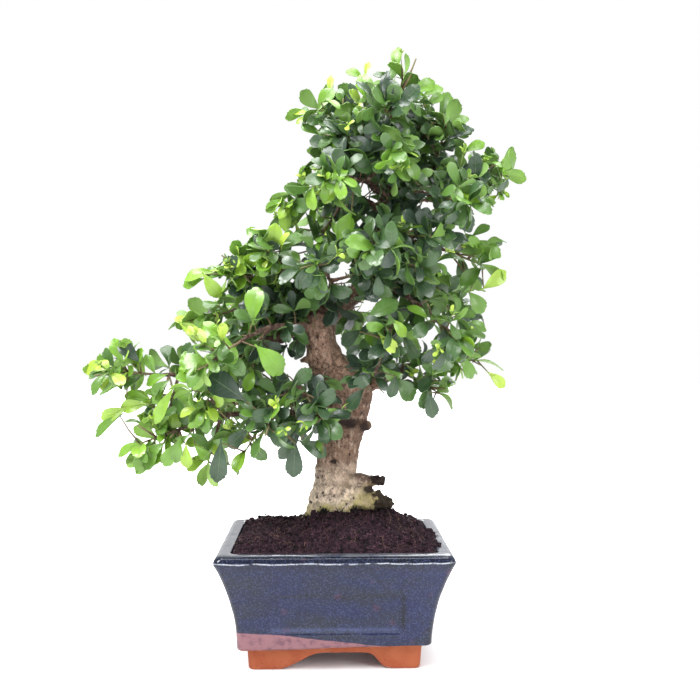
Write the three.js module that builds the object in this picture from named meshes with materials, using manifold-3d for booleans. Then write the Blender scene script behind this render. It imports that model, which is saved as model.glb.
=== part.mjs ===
// A fukien tea bonsai in its glazed tray, in millimetres, with +Z up.
// While it is built, X runs to the right, Y runs to the back, and the middle of the tray's footprint is
// at the origin. The finished group is then shifted, so that its origin is the bottom centre of its box.
import * as THREE from 'three';
import { mergeVertices } from 'three/addons/utils/BufferGeometryUtils.js';
import Module from 'manifold-3d';

const wasm = await Module();
wasm.setup();

const GAP = 0.3;
const UP = new THREE.Vector3(0, 0, 1);

// The tray. A half width is measured along X, and the depth is less by the same amount all the way up.
const POT_WIDTH = 200;
const POT_DEPTH = 155;
const POT_HEIGHT = 103;
const POT_CORNER = 9;
const CORNER_STEPS = 3;
const WALL_FOOT_HALF = 82.6;
const WALL_FOOT_Z = 22;
const WALL_THICKNESS = 8.5;
const WALL_FLARE_POWER = 1.9;
const WALL_STEPS = 5;
const LIP_RADIUS = 7;
const LIP_STEPS = 3;
const RIM_WIDTH = 14;
const FLOOR_TOP = 30;
const FLOOR_COVE = 4;
const INNER_WALL_HEIGHTS = [80, 58, 38];

// The panel framed on each side of the tray.
const PANEL_DEPTH = 1.2;
const PANEL_BOTTOM = 33;
const PANEL_TOP = 67;
const PANEL_MARGIN = 25;

// The feet, which are what the four arches leave of one band of clay under the tray.
const BAND_TOP_HALF = 75;
const BAND_BOTTOM_HALF = 73.5;
const BAND_THICKNESS = 12;
const ARCH_HEIGHT = 14.3;
const ARCH_TOE = 1.5;
const ARCH_STEPS = 5;
const FRONT_ARCH = { halfWidth: 46, halfTop: 16, offset: 4 };
const SIDE_ARCH = { halfWidth: 32, halfTop: 11, offset: 0 };

// The drain holes and the plastic mesh that lies over them under the soil.
const DRAIN_RADIUS = 7;
const DRAIN_SIDES = 12;
const DRAIN_OFFSET = 42;
const SCREEN_SIDE = 26;
const SCREEN_THICKNESS = 1.2;
const SCREEN_CELLS = 2;
const SCREEN_BAR = 2;

// The soil is level with the rim at the wall and heaped round the trunk.
const SOIL_EDGE = 102.4;
const MOUND_HEIGHT = 20;
const MOUND_REACH = 62;
const SOIL_LUMP = 1.1;
const SOIL_RINGS = [0.86, 0.7, 0.54, 0.38];

// The trunk, from its foot in the soil to the chop above the elbow: X, Y, Z and the radius of the wood.
const TRUNK = [
  [4, 8, 72, 20],
  [4, 8, 100, 28],
  [4, 8, 121, 31],
  [1.5, 8, 134.6, 26.5],
  [1.2, 8, 146, 21],
  [1.2, 8, 158, 17.6],
  [2.5, 8, 171, 18.4],
  [4, 7, 183, 19.2],
  [8, 6, 197, 18.6],
  [11.6, 6, 212, 18],
  [15, 6, 227, 19],
  [13, 4, 240, 19.5],
  [3, 2, 250, 17.5],
  [-6, 0, 260, 15.6],
  [-11.4, -1, 276, 14.3],
  [-13.7, -1, 291, 14.4],
  [-13, 0, 304, 13],
];
const TRUNK_SIDES = 12;
const TRUNK_STEPS = 17;
const BARK_WAVES = 0.045;
const LEADER = [
  [-12, 0, 296, 11],
  [4, 9, 314, 10],
  [20, 12, 323, 8.5],
  [34.7, 10, 334, 7],
  [42, 8, 371, 6],
  [49, 4, 415, 4.6],
  [53, 2, 453, 3.4],
  [54, 0, 472, 2.6],
];
const LEADER_SIDES = 7;
const LEADER_STEPS = 9;

// What is left of sawn roots and shoots: where each starts and ends, and its two radii.
const STUBS = [
  { from: new THREE.Vector3(14, -8, 158), to: new THREE.Vector3(43, -12, 154), radii: [5.5, 4.2] },
  { from: new THREE.Vector3(8, -10, 141), to: new THREE.Vector3(49, -14, 134.5), radii: [9, 6.4] },
  { from: new THREE.Vector3(16, -2, 201), to: new THREE.Vector3(33, -6, 204), radii: [6, 3.4] },
  { from: new THREE.Vector3(-14, -4, 266), to: new THREE.Vector3(-31, -8, 262), radii: [4, 2.2] },
  { from: new THREE.Vector3(-13, 0, 296), to: new THREE.Vector3(-18, -3, 316), radii: [9, 7] },
];
const STUB_SIDES = 6;

// Each branch is a cubic curve from the wood it grows out of to the seat of its last spray. side is how
// far along it each side spray sits, as a fraction, and tone is the colour of its leaves.
const BRANCHES = [
  { name: 'crown', tone: 'bright', thick: 3, side: [[0.15, 200], [0.6, 330]],
    path: [[53, 2, 440], [54, 1, 455], [54, 1, 468], [56, -1, 481]] },
  { name: 'crown_left', tone: 'bright', thick: 3.4, side: [[0.7, 90]],
    path: [[52, 3, 438], [44, 2, 452], [32, -4, 462], [18, -8, 469]] },
  { name: 'crown_right', tone: 'mid', thick: 3.4, side: [[0.6, 300]],
    path: [[52, 3, 430], [60, 4, 440], [68, 6, 444], [75, 6, 454]] },
  { name: 'crown_front', tone: 'dark', thick: 3.2, side: [[0.65, 20]],
    path: [[51, 3, 436], [50, -12, 450], [48, -30, 458], [46, -46, 462]] },
  { name: 'crown_back', tone: 'mid', thick: 3.2, side: [[0.6, 90]],
    path: [[52, 3, 444], [54, 18, 458], [57, 34, 466], [60, 48, 468]] },
  { name: 'upper_right', tone: 'mid', thick: 3.8, side: [[0.6, 290]],
    path: [[50, 4, 415], [70, 2, 424], [92, -2, 430], [114, -4, 430]] },
  { name: 'upper_right_front', tone: 'dark', thick: 3.6, side: [[0.6, 200]],
    path: [[48, 5, 400], [60, -14, 408], [76, -38, 408], [88, -56, 402]] },
  { name: 'upper_right_back', tone: 'dark', thick: 3.6, side: [],
    path: [[48, 5, 405], [62, 24, 412], [78, 46, 416], [92, 62, 416]] },
  { name: 'upper_left', tone: 'bright', thick: 3.8, side: [[0.7, 80]],
    path: [[47, 5, 396], [30, 2, 408], [12, -4, 412], [-6, -6, 408]] },
  { name: 'upper_left_front', tone: 'mid', thick: 3.6, side: [[0.65, 200]],
    path: [[48, 5, 404], [40, -18, 416], [26, -42, 420], [14, -60, 416]] },
  { name: 'upper_left_back', tone: 'mid', thick: 3.6, side: [],
    path: [[46, 6, 392], [38, 26, 404], [24, 48, 410], [12, 64, 410]] },
  { name: 'mid_right', tone: 'mid', thick: 4.2, side: [[0.6, 80]],
    path: [[43, 7, 372], [60, 6, 374], [80, 2, 370], [100, 0, 362]] },
  { name: 'mid_front', tone: 'dark', thick: 4, side: [[0.65, 180]],
    path: [[42, 8, 364], [42, -18, 374], [40, -46, 372], [36, -70, 364]] },
  { name: 'mid_back', tone: 'dark', thick: 4, side: [[0.6, 180]],
    path: [[43, 8, 376], [44, 34, 384], [48, 62, 382], [52, 86, 374]] },
  { name: 'inner_front', tone: 'dark', thick: 3.8, side: [[0.6, 180]],
    path: [[2, 6, 312], [0, -16, 326], [-4, -40, 336], [-8, -60, 338]] },
  { name: 'mid_left', tone: 'bright', thick: 4.4, side: [[0.5, 90], [0.8, 200]],
    path: [[2, 8, 313], [-14, 4, 330], [-34, -2, 342], [-56, -6, 341]] },
  { name: 'left_high', tone: 'bright', thick: 4.6, side: [[0.65, 250]],
    path: [[-15, 2, 302], [-38, 4, 310], [-62, -4, 314], [-86, -8, 308]] },
  { name: 'left_long', tone: 'bright', thick: 6.4, side: [[0.4, 50], [0.62, 130], [0.85, 80]],
    path: [[-16, -2, 294], [-62, -6, 286], [-110, -8, 246], [-160, -10, 250]] },
  { name: 'left_front', tone: 'mid', thick: 4.4, side: [[0.6, 40]],
    path: [[-15, -6, 290], [-36, -26, 298], [-58, -48, 294], [-78, -62, 280]] },
  { name: 'left_back', tone: 'mid', thick: 4.4, side: [[0.6, 120]],
    path: [[-13, 4, 296], [-34, 26, 308], [-54, 46, 312], [-72, 62, 310]] },
  { name: 'inner_back', tone: 'dark', thick: 4.2, side: [],
    path: [[14, 14, 318], [16, 36, 322], [18, 58, 318], [18, 78, 310]] },
  { name: 'low_right_front', tone: 'dark', thick: 4.4, side: [[0.6, 300]],
    path: [[33, 10, 330], [50, -8, 330], [68, -32, 318], [82, -50, 302]] },
  { name: 'low_right_back', tone: 'dark', thick: 4.4, side: [],
    path: [[30, 12, 328], [50, 26, 334], [72, 42, 332], [94, 54, 324]] },
  { name: 'low_right', tone: 'mid', thick: 7, side: [[0.55, 50]],
    path: [[22, 8, 234], [48, 14, 242], [66, 12, 262], [94, 6, 262]] },
  { name: 'centre_front', tone: 'dark', thick: 3.8, side: [],
    path: [[16, -8, 240], [26, -24, 244], [34, -36, 250], [38, -44, 262]] },
  { name: 'lower_left', tone: 'bright', thick: 5.6, side: [[0.45, 130], [0.75, 70]],
    path: [[-4, 4, 198], [-36, -4, 226], [-90, -8, 218], [-138, -12, 201]] },
  { name: 'lower_left_front', tone: 'dark', thick: 4.2, side: [[0.6, 150]],
    path: [[-12, -8, 252], [-24, -28, 252], [-36, -42, 244], [-44, -52, 230]] },
  { name: 'lower_left_back', tone: 'mid', thick: 4.6, side: [],
    path: [[-6, 10, 204], [-32, 26, 224], [-60, 42, 226], [-86, 52, 220]] },
];
const BRANCH_SIDES = 5;
const BRANCH_STEPS = 3;
const BRANCH_TIP = 1.9;

// Joins leave corners that lie this close to a straight edge or a flat face, and those go.
const TIDY = 0.05;

// A side spray sits on a short fork of its branch.
const FORK_LENGTH = 12;
const FORK_RADII = [2.3, 1.9];
const FORK_SPREAD = 1.1;
const SWINGS = [0, 30, -30, 60, -60, 90, -90, 120];

// A spray is one square shoot with its leaves. Each leaf is rooted on the shoot's axis, so far along it
// and on so many quarter turns round it, and the last one continues the shoot.
const SHOOT_LENGTH = 38;
const SHOOT_RADII = [1.6, 1.3];
const SHOOT_SIDES = 4;
const QUARTER = Math.PI / 2;
const LEAVES = [
  { fraction: 0.22, quarter: 0 },
  { fraction: 0.36, quarter: 2 },
  { fraction: 0.55, quarter: 1 },
  { fraction: 0.68, quarter: 3 },
  { fraction: 0.88, quarter: 0 },
  { fraction: 0.94, quarter: 2 },
];
const LEAF_LENGTH = [25, 33];
const LEAF_WIDTH = 0.67;
const LEAF_THICKNESS = 0.7;
const LEAF_SPREAD = [1.25, 0.85];
const LAST_SPREAD = 0.2;
const SPREAD_ROLL = 0.2;
const LEAF_ARCH = 0.07;
const LEAF_DROOP = 0.16;
const LEAF_FOLD = 0.12;
const LEAF_TILT = 0.3;

// Where a leaf would touch something, it is tried at these further tilts, a little shorter each time.
const TRIAL_TILTS = [0, 0.5, -0.5, 1, -1, 1.5, -1.5];
const TRIAL_SHRINK = 0.03;

// A leaf faces up and away from the middle of the canopy, give or take a turn.
const CANOPY_X = 10;
const LIGHT_UP = 0.6;
const LIGHT_OUT = 0.8;
const LEAF_TURN = 1.1;

// Half of a leaf's outline, from its foot to its tip, as fractions of its width and its length: a wedge
// foot, a broad shoulder, and then the teeth.
const LEAF_OUTLINE = [
  [0, 0],
  [0.4, 0.45],
  [0.5, 0.76],
  [0.32, 0.9],
  [0, 1],
];

const TONES = {
  bright: 0x86b83a,
  mid: 0x4f8a35,
  dark: 0x2c5a34,
};
const LEAF_ROUGHNESS = 0.45;
const GLAZE = { colour: 0x4d5678, roughness: 0.15 };
const PLASTIC = { colour: 0x202220, roughness: 0.6 };
const PEAT = { colour: 0x3c2a2c, roughness: 1 };
const BARE_WOOD = { colour: 0xa5826a, roughness: 0.85 };

// A seeded generator, so that the same tree grows every time.
class Dice {
  constructor(seed) {
    this.state = seed;
  }

  next() {
    this.state = (this.state * 16807) % 2147483647;
    return this.state / 2147483647;
  }

  between(low, high) {
    return low + (high - low) * this.next();
  }
}

// A closed geometry as a solid. Corners that share a place are merged and empty faces dropped.
function solid(geometry) {
  const bare = geometry.clone();
  bare.deleteAttribute('normal');
  bare.deleteAttribute('uv');
  const merged = mergeVertices(bare, 1e-4);
  const faces = [];
  for (let i = 0; i < merged.index.count; i += 3) {
    const [a, b, c] = [0, 1, 2].map((k) => merged.index.getX(i + k));
    if (a !== b && b !== c && c !== a) {
      faces.push(a, b, c);
    }
  }
  const made = new wasm.Manifold(new wasm.Mesh({
    numProp: 3,
    vertProperties: new Float32Array(merged.attributes.position.array),
    triVerts: new Uint32Array(faces),
  }));
  if (made.volume() <= 0) {
    throw new Error('a solid is inside out');
  }
  return made;
}

function join(solids) {
  return solids.reduce((whole, one) => whole.add(one));
}

// A solid as a named mesh of the scene. Only its largest body is kept.
function piece(name, whole, { colour, roughness }) {
  const tidy = whole.asOriginal().simplify(TIDY);
  const bodies = tidy.decompose().sort((a, b) => b.volume() - a.volume());
  const { vertProperties, triVerts } = bodies[0].getMesh();
  const geometry = new THREE.BufferGeometry();
  geometry.setAttribute('position', new THREE.BufferAttribute(new Float32Array(vertProperties), 3));
  geometry.setIndex(new THREE.BufferAttribute(new Uint32Array(triVerts), 1));
  geometry.computeVertexNormals();
  const material = new THREE.MeshStandardMaterial({ color: colour, roughness, metalness: 0 });
  const mesh = new THREE.Mesh(geometry, material);
  mesh.name = name;
  return mesh;
}

function box(width, depth, height, [x, y, z]) {
  return solid(new THREE.BoxGeometry(width, depth, height).translate(x, y, z));
}

// Whether a solid keeps clear of each of the others.
function isClear(candidate, others) {
  const a = candidate.boundingBox();
  return others.every((other) => {
    const b = other.boundingBox();
    const apart = [0, 1, 2].some((k) => a.min[k] > b.max[k] || b.min[k] > a.max[k]);
    return apart || candidate.intersect(other).isEmpty();
  });
}

// A profile of half width and height, turned round a rounded rectangle instead of a circle. The half
// depth is the half width less half the difference between the tray's width and depth.
function traySolid(profile, height = () => 0) {
  const perCorner = CORNER_STEPS + 1;
  const step = Math.PI / 2 / perCorner;
  const points = profile.map(([half, z]) => new THREE.Vector2(half, z));
  const turned = new THREE.LatheGeometry(points, 4 * perCorner, step / 2);
  turned.rotateX(Math.PI / 2);
  const { position } = turned.attributes;
  for (let i = 0; i < position.count; i += 1) {
    const half = Math.hypot(position.getX(i), position.getY(i));
    if (half > 1e-3) {
      const angle = Math.atan2(Math.abs(position.getY(i)), Math.abs(position.getX(i)));
      const turn = (angle - step / 2) / (Math.PI / 2 - step) * (Math.PI / 2);
      const halfDepth = half * POT_DEPTH / POT_WIDTH + (half - POT_WIDTH / 2) * (1 - POT_DEPTH / POT_WIDTH);
      const corner = Math.min(POT_CORNER, halfDepth / 2);
      const x = half - corner + corner * Math.cos(turn);
      const y = halfDepth - corner + corner * Math.sin(turn);
      position.setX(i, Math.sign(position.getX(i)) * x);
      position.setY(i, Math.sign(position.getY(i)) * y);
    }
    const lift = height(position.getX(i), position.getY(i), position.getZ(i));
    position.setZ(i, position.getZ(i) + lift);
  }
  return solid(turned);
}

// The outer half width of the tray's wall at a height, less a setback.
function wallHalf(z, setback = 0) {
  const lipZ = POT_HEIGHT - LIP_RADIUS;
  const rise = Math.max(0, (z - WALL_FOOT_Z) / (lipZ - WALL_FOOT_Z));
  return WALL_FOOT_HALF + (POT_WIDTH / 2 - WALL_FOOT_HALF) * rise ** WALL_FLARE_POWER - setback;
}

// The wall's outer line from its foot to just under the lip.
function wallLine(setback) {
  const lipZ = POT_HEIGHT - LIP_RADIUS;
  const line = [];
  for (let i = 0; i <= WALL_STEPS; i += 1) {
    const z = WALL_FOOT_Z + (lipZ - WALL_FOOT_Z) * i / WALL_STEPS;
    line.push([wallHalf(z, setback), z]);
  }
  return line;
}

// The wall's inner line from the rim down to the floor, with a cove between them.
function innerWallLine(setback, top) {
  return [
    [POT_WIDTH / 2 - RIM_WIDTH - setback, top],
    ...INNER_WALL_HEIGHTS.map((z) => [wallHalf(z, WALL_THICKNESS + setback), z]),
    [wallHalf(FLOOR_TOP, WALL_THICKNESS + setback) - FLOOR_COVE, FLOOR_TOP + setback],
  ];
}

// The line of an arch from one foot to the next, as a shape that is cut away.
function archCutter(arch, reach) {
  const { halfWidth, halfTop, offset } = arch;
  const shape = new THREE.Shape();
  const bend = (halfWidth - halfTop) / 2;
  const left = offset - halfTop;
  const right = offset + halfTop;
  shape.moveTo(-halfWidth, -ARCH_HEIGHT);
  shape.lineTo(-halfWidth, 0);
  shape.bezierCurveTo(-halfWidth + bend, ARCH_TOE, left - bend, ARCH_HEIGHT, left, ARCH_HEIGHT);
  shape.lineTo(right, ARCH_HEIGHT);
  shape.bezierCurveTo(right + bend, ARCH_HEIGHT, halfWidth - bend, ARCH_TOE, halfWidth, 0);
  shape.lineTo(halfWidth, -ARCH_HEIGHT);
  const depth = 2 * reach;
  const cutter = new THREE.ExtrudeGeometry(shape, { depth, bevelEnabled: false, curveSegments: ARCH_STEPS });
  return cutter.translate(0, 0, -reach).rotateX(Math.PI / 2);
}

// The band under the tray, hollow beneath and cut by its four arches into corner feet.
function feet() {
  const reach = POT_WIDTH;
  const overlap = 1;
  const band = traySolid([
    [0, 0],
    [BAND_BOTTOM_HALF, 0],
    [BAND_TOP_HALF, WALL_FOOT_Z + overlap],
    [0, WALL_FOOT_Z + overlap],
  ]);
  const hollow = traySolid([
    [0, -overlap],
    [BAND_BOTTOM_HALF - BAND_THICKNESS, -overlap],
    [BAND_BOTTOM_HALF - BAND_THICKNESS, WALL_FOOT_Z - overlap],
    [0, WALL_FOOT_Z - overlap],
  ]);
  const front = solid(archCutter(FRONT_ARCH, reach));
  const side = solid(archCutter(SIDE_ARCH, reach).rotateZ(Math.PI / 2));
  return band.subtract(hollow).subtract(front).subtract(side);
}

// What is taken off the four walls, inside the frames of their panels.
function panelRelief() {
  const outer = traySolid([[0, WALL_FOOT_Z], ...wallLine(-GAP), [0, POT_HEIGHT - LIP_RADIUS]]);
  const inner = traySolid([[0, WALL_FOOT_Z - 1], ...wallLine(PANEL_DEPTH), [0, POT_HEIGHT - LIP_RADIUS + 1]]);
  const height = PANEL_TOP - PANEL_BOTTOM;
  const centre = [0, 0, PANEL_BOTTOM + height / 2];
  const wide = box(2 * (WALL_FOOT_HALF - PANEL_MARGIN), 2 * POT_DEPTH, height, centre);
  const sideHalf = WALL_FOOT_HALF - (POT_WIDTH - POT_DEPTH) / 2 - PANEL_MARGIN;
  const deep = box(2 * POT_WIDTH, 2 * sideHalf, height, centre);
  return outer.subtract(inner).intersect(wide.add(deep));
}

function potSolid() {
  const lip = [];
  for (let i = 1; i <= LIP_STEPS; i += 1) {
    const angle = Math.PI / 2 * i / LIP_STEPS;
    const half = POT_WIDTH / 2 - LIP_RADIUS * (1 - Math.cos(angle));
    lip.push([half, POT_HEIGHT - LIP_RADIUS * (1 - Math.sin(angle))]);
  }
  const shell = traySolid([
    [0, WALL_FOOT_Z],
    ...wallLine(0),
    ...lip,
    ...innerWallLine(0, POT_HEIGHT),
    [0, FLOOR_TOP],
  ]);
  let pot = shell.add(feet()).subtract(panelRelief());
  for (const x of [-DRAIN_OFFSET, DRAIN_OFFSET]) {
    const drill = new THREE.CylinderGeometry(DRAIN_RADIUS, DRAIN_RADIUS, FLOOR_TOP, DRAIN_SIDES);
    pot = pot.subtract(solid(drill.rotateX(Math.PI / 2).translate(x, 0, FLOOR_TOP)));
  }
  return pot;
}

function screenSolid(x) {
  const centre = [x, 0, FLOOR_TOP + GAP + SCREEN_THICKNESS / 2];
  const pitch = (SCREEN_SIDE - SCREEN_BAR) / SCREEN_CELLS;
  let screen = box(SCREEN_SIDE, SCREEN_SIDE, SCREEN_THICKNESS, centre);
  for (let row = 0; row < SCREEN_CELLS; row += 1) {
    for (let column = 0; column < SCREEN_CELLS; column += 1) {
      const middle = (SCREEN_CELLS - 1) / 2;
      const hole = [x + (column - middle) * pitch, (row - middle) * pitch, centre[2]];
      screen = screen.subtract(box(pitch - SCREEN_BAR, pitch - SCREEN_BAR, FLOOR_TOP / 2, hole));
    }
  }
  return screen;
}

// A cylinder bent along a curve, with a radius at each fraction of the way and angle round it.
function limb(curve, radiusAt, sides, steps) {
  const bent = new THREE.CylinderGeometry(1, 1, 1, sides, steps);
  const { normals, binormals } = curve.computeFrenetFrames(steps, false);
  const centres = curve.getSpacedPoints(steps);
  const { position } = bent.attributes;
  for (let i = 0; i < position.count; i += 1) {
    const row = Math.round((position.getY(i) + 0.5) * steps);
    const angle = Math.atan2(position.getZ(i), position.getX(i));
    const rim = Math.hypot(position.getX(i), position.getZ(i));
    const reach = rim * radiusAt(row / steps, angle);
    const corner = centres[row].clone();
    corner.addScaledVector(normals[row], reach * Math.cos(angle));
    corner.addScaledVector(binormals[row], -reach * Math.sin(angle));
    position.setXYZ(i, corner.x, corner.y, corner.z);
  }
  return solid(bent);
}

// A limb through rows of X, Y, Z and radius. extra is added to each radius, and bark makes it uneven.
function woodLimb(rows, sides, steps, { extra = 0, bark = 0 } = {}) {
  const curve = new THREE.CatmullRomCurve3(rows.map(([x, y, z]) => new THREE.Vector3(x, y, z)));
  const radiusAt = (fraction, angle) => {
    const along = curve.getUtoTmapping(fraction) * (rows.length - 1);
    const row = Math.min(Math.floor(along), rows.length - 2);
    const radius = THREE.MathUtils.lerp(rows[row][3], rows[row + 1][3], along - row);
    const waves = Math.sin(2 * angle + 1.7 * along) + Math.sin(5 * angle - 2.3 * along);
    return radius * (1 + bark * waves) + extra;
  };
  return limb(curve, radiusAt, sides, steps);
}

// A straight tapered piece from one place to another. turn is how far its sides are turned round it.
function stub(from, to, [thick, thin], sides, turn = 0) {
  const way = new THREE.Vector3().subVectors(to, from);
  const length = way.length();
  const piece = new THREE.CylinderGeometry(thin, thick, length, sides, 1, false, Math.PI / sides);
  const { across, over } = sidesOf(way.normalize(), turn);
  const place = new THREE.Matrix4().makeBasis(across, way, over);
  place.setPosition(from.clone().addScaledVector(way, length / 2));
  return solid(piece.applyMatrix4(place));
}

// Two directions square to a way and to each other, turned round it.
function sidesOf(way, turn) {
  const across = new THREE.Vector3().crossVectors(way, UP).normalize().applyAxisAngle(way, turn);
  return { across, over: new THREE.Vector3().crossVectors(across, way) };
}

function branchCurve({ path }) {
  return new THREE.CubicBezierCurve3(...path.map((place) => new THREE.Vector3(...place)));
}

function branchSolid(branch) {
  const radiusAt = (fraction) => THREE.MathUtils.lerp(branch.thick, BRANCH_TIP, fraction);
  return limb(branchCurve(branch), radiusAt, BRANCH_SIDES, BRANCH_STEPS);
}

// The seats of a branch's sprays. Each has the place where its shoot starts and the way that it points.
// A side seat has a choice of forks, of which the first that is clear is taken.
function seatsOf(branch, number) {
  const curve = branchCurve(branch);
  const end = curve.getPoint(1);
  const last = { start: end, foot: end, way: curve.getTangent(1), turn: number };
  const sideSeats = branch.side.map(([fraction, degrees], index) => {
    const start = curve.getPoint(fraction);
    const along = curve.getTangent(fraction);
    return SWINGS.map((swing) => {
      const { across } = sidesOf(along, THREE.MathUtils.degToRad(degrees + swing));
      const way = along.clone().multiplyScalar(Math.cos(FORK_SPREAD));
      way.addScaledVector(across, Math.sin(FORK_SPREAD));
      const foot = start.clone().addScaledVector(way, FORK_LENGTH);
      return { start, foot, way, turn: number + index + 1 };
    });
  });
  return [[last], ...sideSeats].map((choices) => ({ branch, choices }));
}

// The ends of the shoot that stands on a seat.
function shootEnds({ foot, way }) {
  const start = foot.clone().addScaledVector(way, GAP);
  return [start, start.clone().addScaledVector(way, SHOOT_LENGTH)];
}

function shootSolid(seat, extra) {
  const radii = SHOOT_RADII.map((radius) => radius + extra);
  return stub(...shootEnds(seat), radii, SHOOT_SIDES, seat.turn);
}

// A leaf's blade, alike above and below, with a wall round it. Each face is a wedge at the foot and a fan
// from the tip. With from above zero the blade is without that many rows of its outline at the foot.
function bladeSolid({ root, along, normal, length }, margin, from = 0) {
  const right = LEAF_OUTLINE.slice(from, -1);
  const left = LEAF_OUTLINE.slice(Math.max(from, 1), -1).map(([x, y]) => [-x, y]).reverse();
  const outline = [LEAF_OUTLINE.at(-1), ...left, ...right];
  const across = new THREE.Vector3().crossVectors(along, normal);
  const width = length * LEAF_WIDTH + margin;
  const place = new THREE.Matrix4().makeBasis(across, along, normal).setPosition(root);
  const corners = [];
  for (const side of [0.5, -0.5]) {
    for (const [x, y] of outline) {
      const rise = LEAF_ARCH * Math.sin(Math.PI * y) - LEAF_DROOP * y * y + LEAF_FOLD * Math.abs(x);
      const depth = side * (LEAF_THICKNESS + 2 * margin);
      const corner = new THREE.Vector3(x * width, y * (length + margin), rise * length + depth);
      corners.push(...corner.applyMatrix4(place).toArray());
    }
  }
  const count = outline.length;
  const foot = from ? -1 : left.length + 1;
  const face = [];
  for (let i = 1; i < count - 1; i += 1) {
    if (i === foot - 1) {
      face.push([0, i, i + 2], [i, i + 1, i + 2]);
    } else if (i !== foot) {
      face.push([0, i, i + 1]);
    }
  }
  const faces = face.flatMap(([a, b, c]) => [a, b, c, count + a, count + c, count + b]);
  for (let i = 0; i < count; i += 1) {
    const next = (i + 1) % count;
    faces.push(i, count + i, count + next);
    faces.push(i, count + next, next);
  }
  const geometry = new THREE.BufferGeometry();
  geometry.setAttribute('position', new THREE.BufferAttribute(new Float32Array(corners), 3));
  geometry.setIndex(faces);
  return solid(geometry);
}

// Where a leaf of a spray sits and how it is turned, at one of its tries.
function leafPlace(seat, leaf, roll, trial) {
  const root = new THREE.Vector3().lerpVectors(...shootEnds(seat), leaf.fraction);
  const { across, over } = sidesOf(seat.way, seat.turn);
  const isLast = leaf === LEAVES.at(-1);
  const spread = isLast ? LAST_SPREAD : THREE.MathUtils.lerp(...LEAF_SPREAD, leaf.fraction) + roll.spread;
  const round = QUARTER * leaf.quarter;
  const along = seat.way.clone().multiplyScalar(Math.cos(spread));
  along.addScaledVector(across, Math.sin(spread) * Math.cos(round));
  along.addScaledVector(over, Math.sin(spread) * Math.sin(round));
  const outward = new THREE.Vector3(root.x - CANOPY_X, root.y, 0).normalize().applyAxisAngle(UP, roll.turn);
  const light = UP.clone().multiplyScalar(LIGHT_UP).addScaledVector(outward, LIGHT_OUT);
  const normal = light.addScaledVector(along, -light.dot(along)).normalize();
  normal.applyAxisAngle(along, roll.tilt + TRIAL_TILTS[trial]);
  return { root, along, normal, length: roll.length * (1 - TRIAL_SHRINK * trial) };
}

// The leaves of a spray that are clear of each other and of the solids round them.
function leavesOf(seat, number, others) {
  const dice = new Dice(1 + 7919 * (number + 1));
  const blades = [];
  const bodies = [];
  for (const leaf of LEAVES) {
    const roll = {
      spread: dice.between(-SPREAD_ROLL, SPREAD_ROLL),
      tilt: dice.between(-LEAF_TILT, LEAF_TILT),
      turn: dice.between(-LEAF_TURN, LEAF_TURN),
      length: dice.between(...LEAF_LENGTH),
    };
    for (let trial = 0; trial < TRIAL_TILTS.length; trial += 1) {
      const placed = leafPlace(seat, leaf, roll, trial);
      const body = bladeSolid(placed, GAP, 1);
      if (isClear(body, bodies) && isClear(bladeSolid(placed, GAP), others)) {
        blades.push(bladeSolid(placed, 0));
        bodies.push(body);
        break;
      }
    }
  }
  return blades;
}

// The soil's height over its level edge at a place, with the heap round the trunk and small lumps.
function soilHeight(x, y) {
  const away = Math.hypot(x - TRUNK[0][0], y - TRUNK[0][1]);
  const fall = THREE.MathUtils.smoothstep(away, TRUNK[2][3], TRUNK[2][3] + MOUND_REACH);
  const lump = Math.sin(0.31 * x + 1.1) * Math.cos(0.27 * y - 0.4) + Math.sin(0.17 * x - 0.23 * y);
  return (MOUND_HEIGHT + SOIL_LUMP * lump) * (1 - fall);
}

function soilSolid() {
  const edge = POT_WIDTH / 2 - RIM_WIDTH - GAP;
  const top = SOIL_RINGS.map((ring) => [edge * ring, SOIL_EDGE]);
  const wall = innerWallLine(GAP, SOIL_EDGE).reverse();
  const profile = [[0, FLOOR_TOP + GAP], ...wall, ...top, [0, SOIL_EDGE]];
  const isTop = (z) => z > SOIL_EDGE - GAP;
  let soil = traySolid(profile, (x, y, z) => (isTop(z) ? soilHeight(x, y) : 0));
  for (const x of [-DRAIN_OFFSET, DRAIN_OFFSET]) {
    const side = SCREEN_SIDE + 2 * GAP;
    const height = SCREEN_THICKNESS + 2 * GAP;
    soil = soil.subtract(box(side, side, 2 * height, [x, 0, FLOOR_TOP]));
  }
  const hole = TRUNK.map(([x, y, z, radius], row) => [x, y, row === 0 ? z - GAP : z, radius]);
  return soil.subtract(woodLimb(hole, TRUNK_SIDES, TRUNK_STEPS, { extra: 2 * GAP, bark: BARK_WAVES }));
}

const pot = potSolid();
const soil = soilSolid();
const screens = [screenSolid(-DRAIN_OFFSET), screenSolid(DRAIN_OFFSET)];

const wood = join([
  woodLimb(TRUNK, TRUNK_SIDES, TRUNK_STEPS, { bark: BARK_WAVES }),
  woodLimb(LEADER, LEADER_SIDES, LEADER_STEPS),
  ...STUBS.map(({ from, to, radii }) => stub(from, to, radii, STUB_SIDES)),
  ...BRANCHES.map(branchSolid),
]);

const seats = BRANCHES.flatMap(seatsOf);
const shoots = [];
const forks = [];
for (const seat of seats) {
  const placed = [wood, ...shoots.map(({ wide }) => wide), ...forks];
  const isFree = (choice) => isClear(shootSolid(choice, GAP), placed);
  const isSide = seat.choices.length > 1;
  seat.chosen = isSide ? seat.choices.find(isFree) ?? seat.choices[0] : seat.choices[0];
  shoots.push({ thin: shootSolid(seat.chosen, 0), wide: shootSolid(seat.chosen, GAP) });
  if (isSide) {
    forks.push(stub(seat.chosen.start, seat.chosen.foot, FORK_RADII, SHOOT_SIDES, seat.chosen.turn));
  }
}
const trunk = join([wood, ...forks]);

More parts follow.
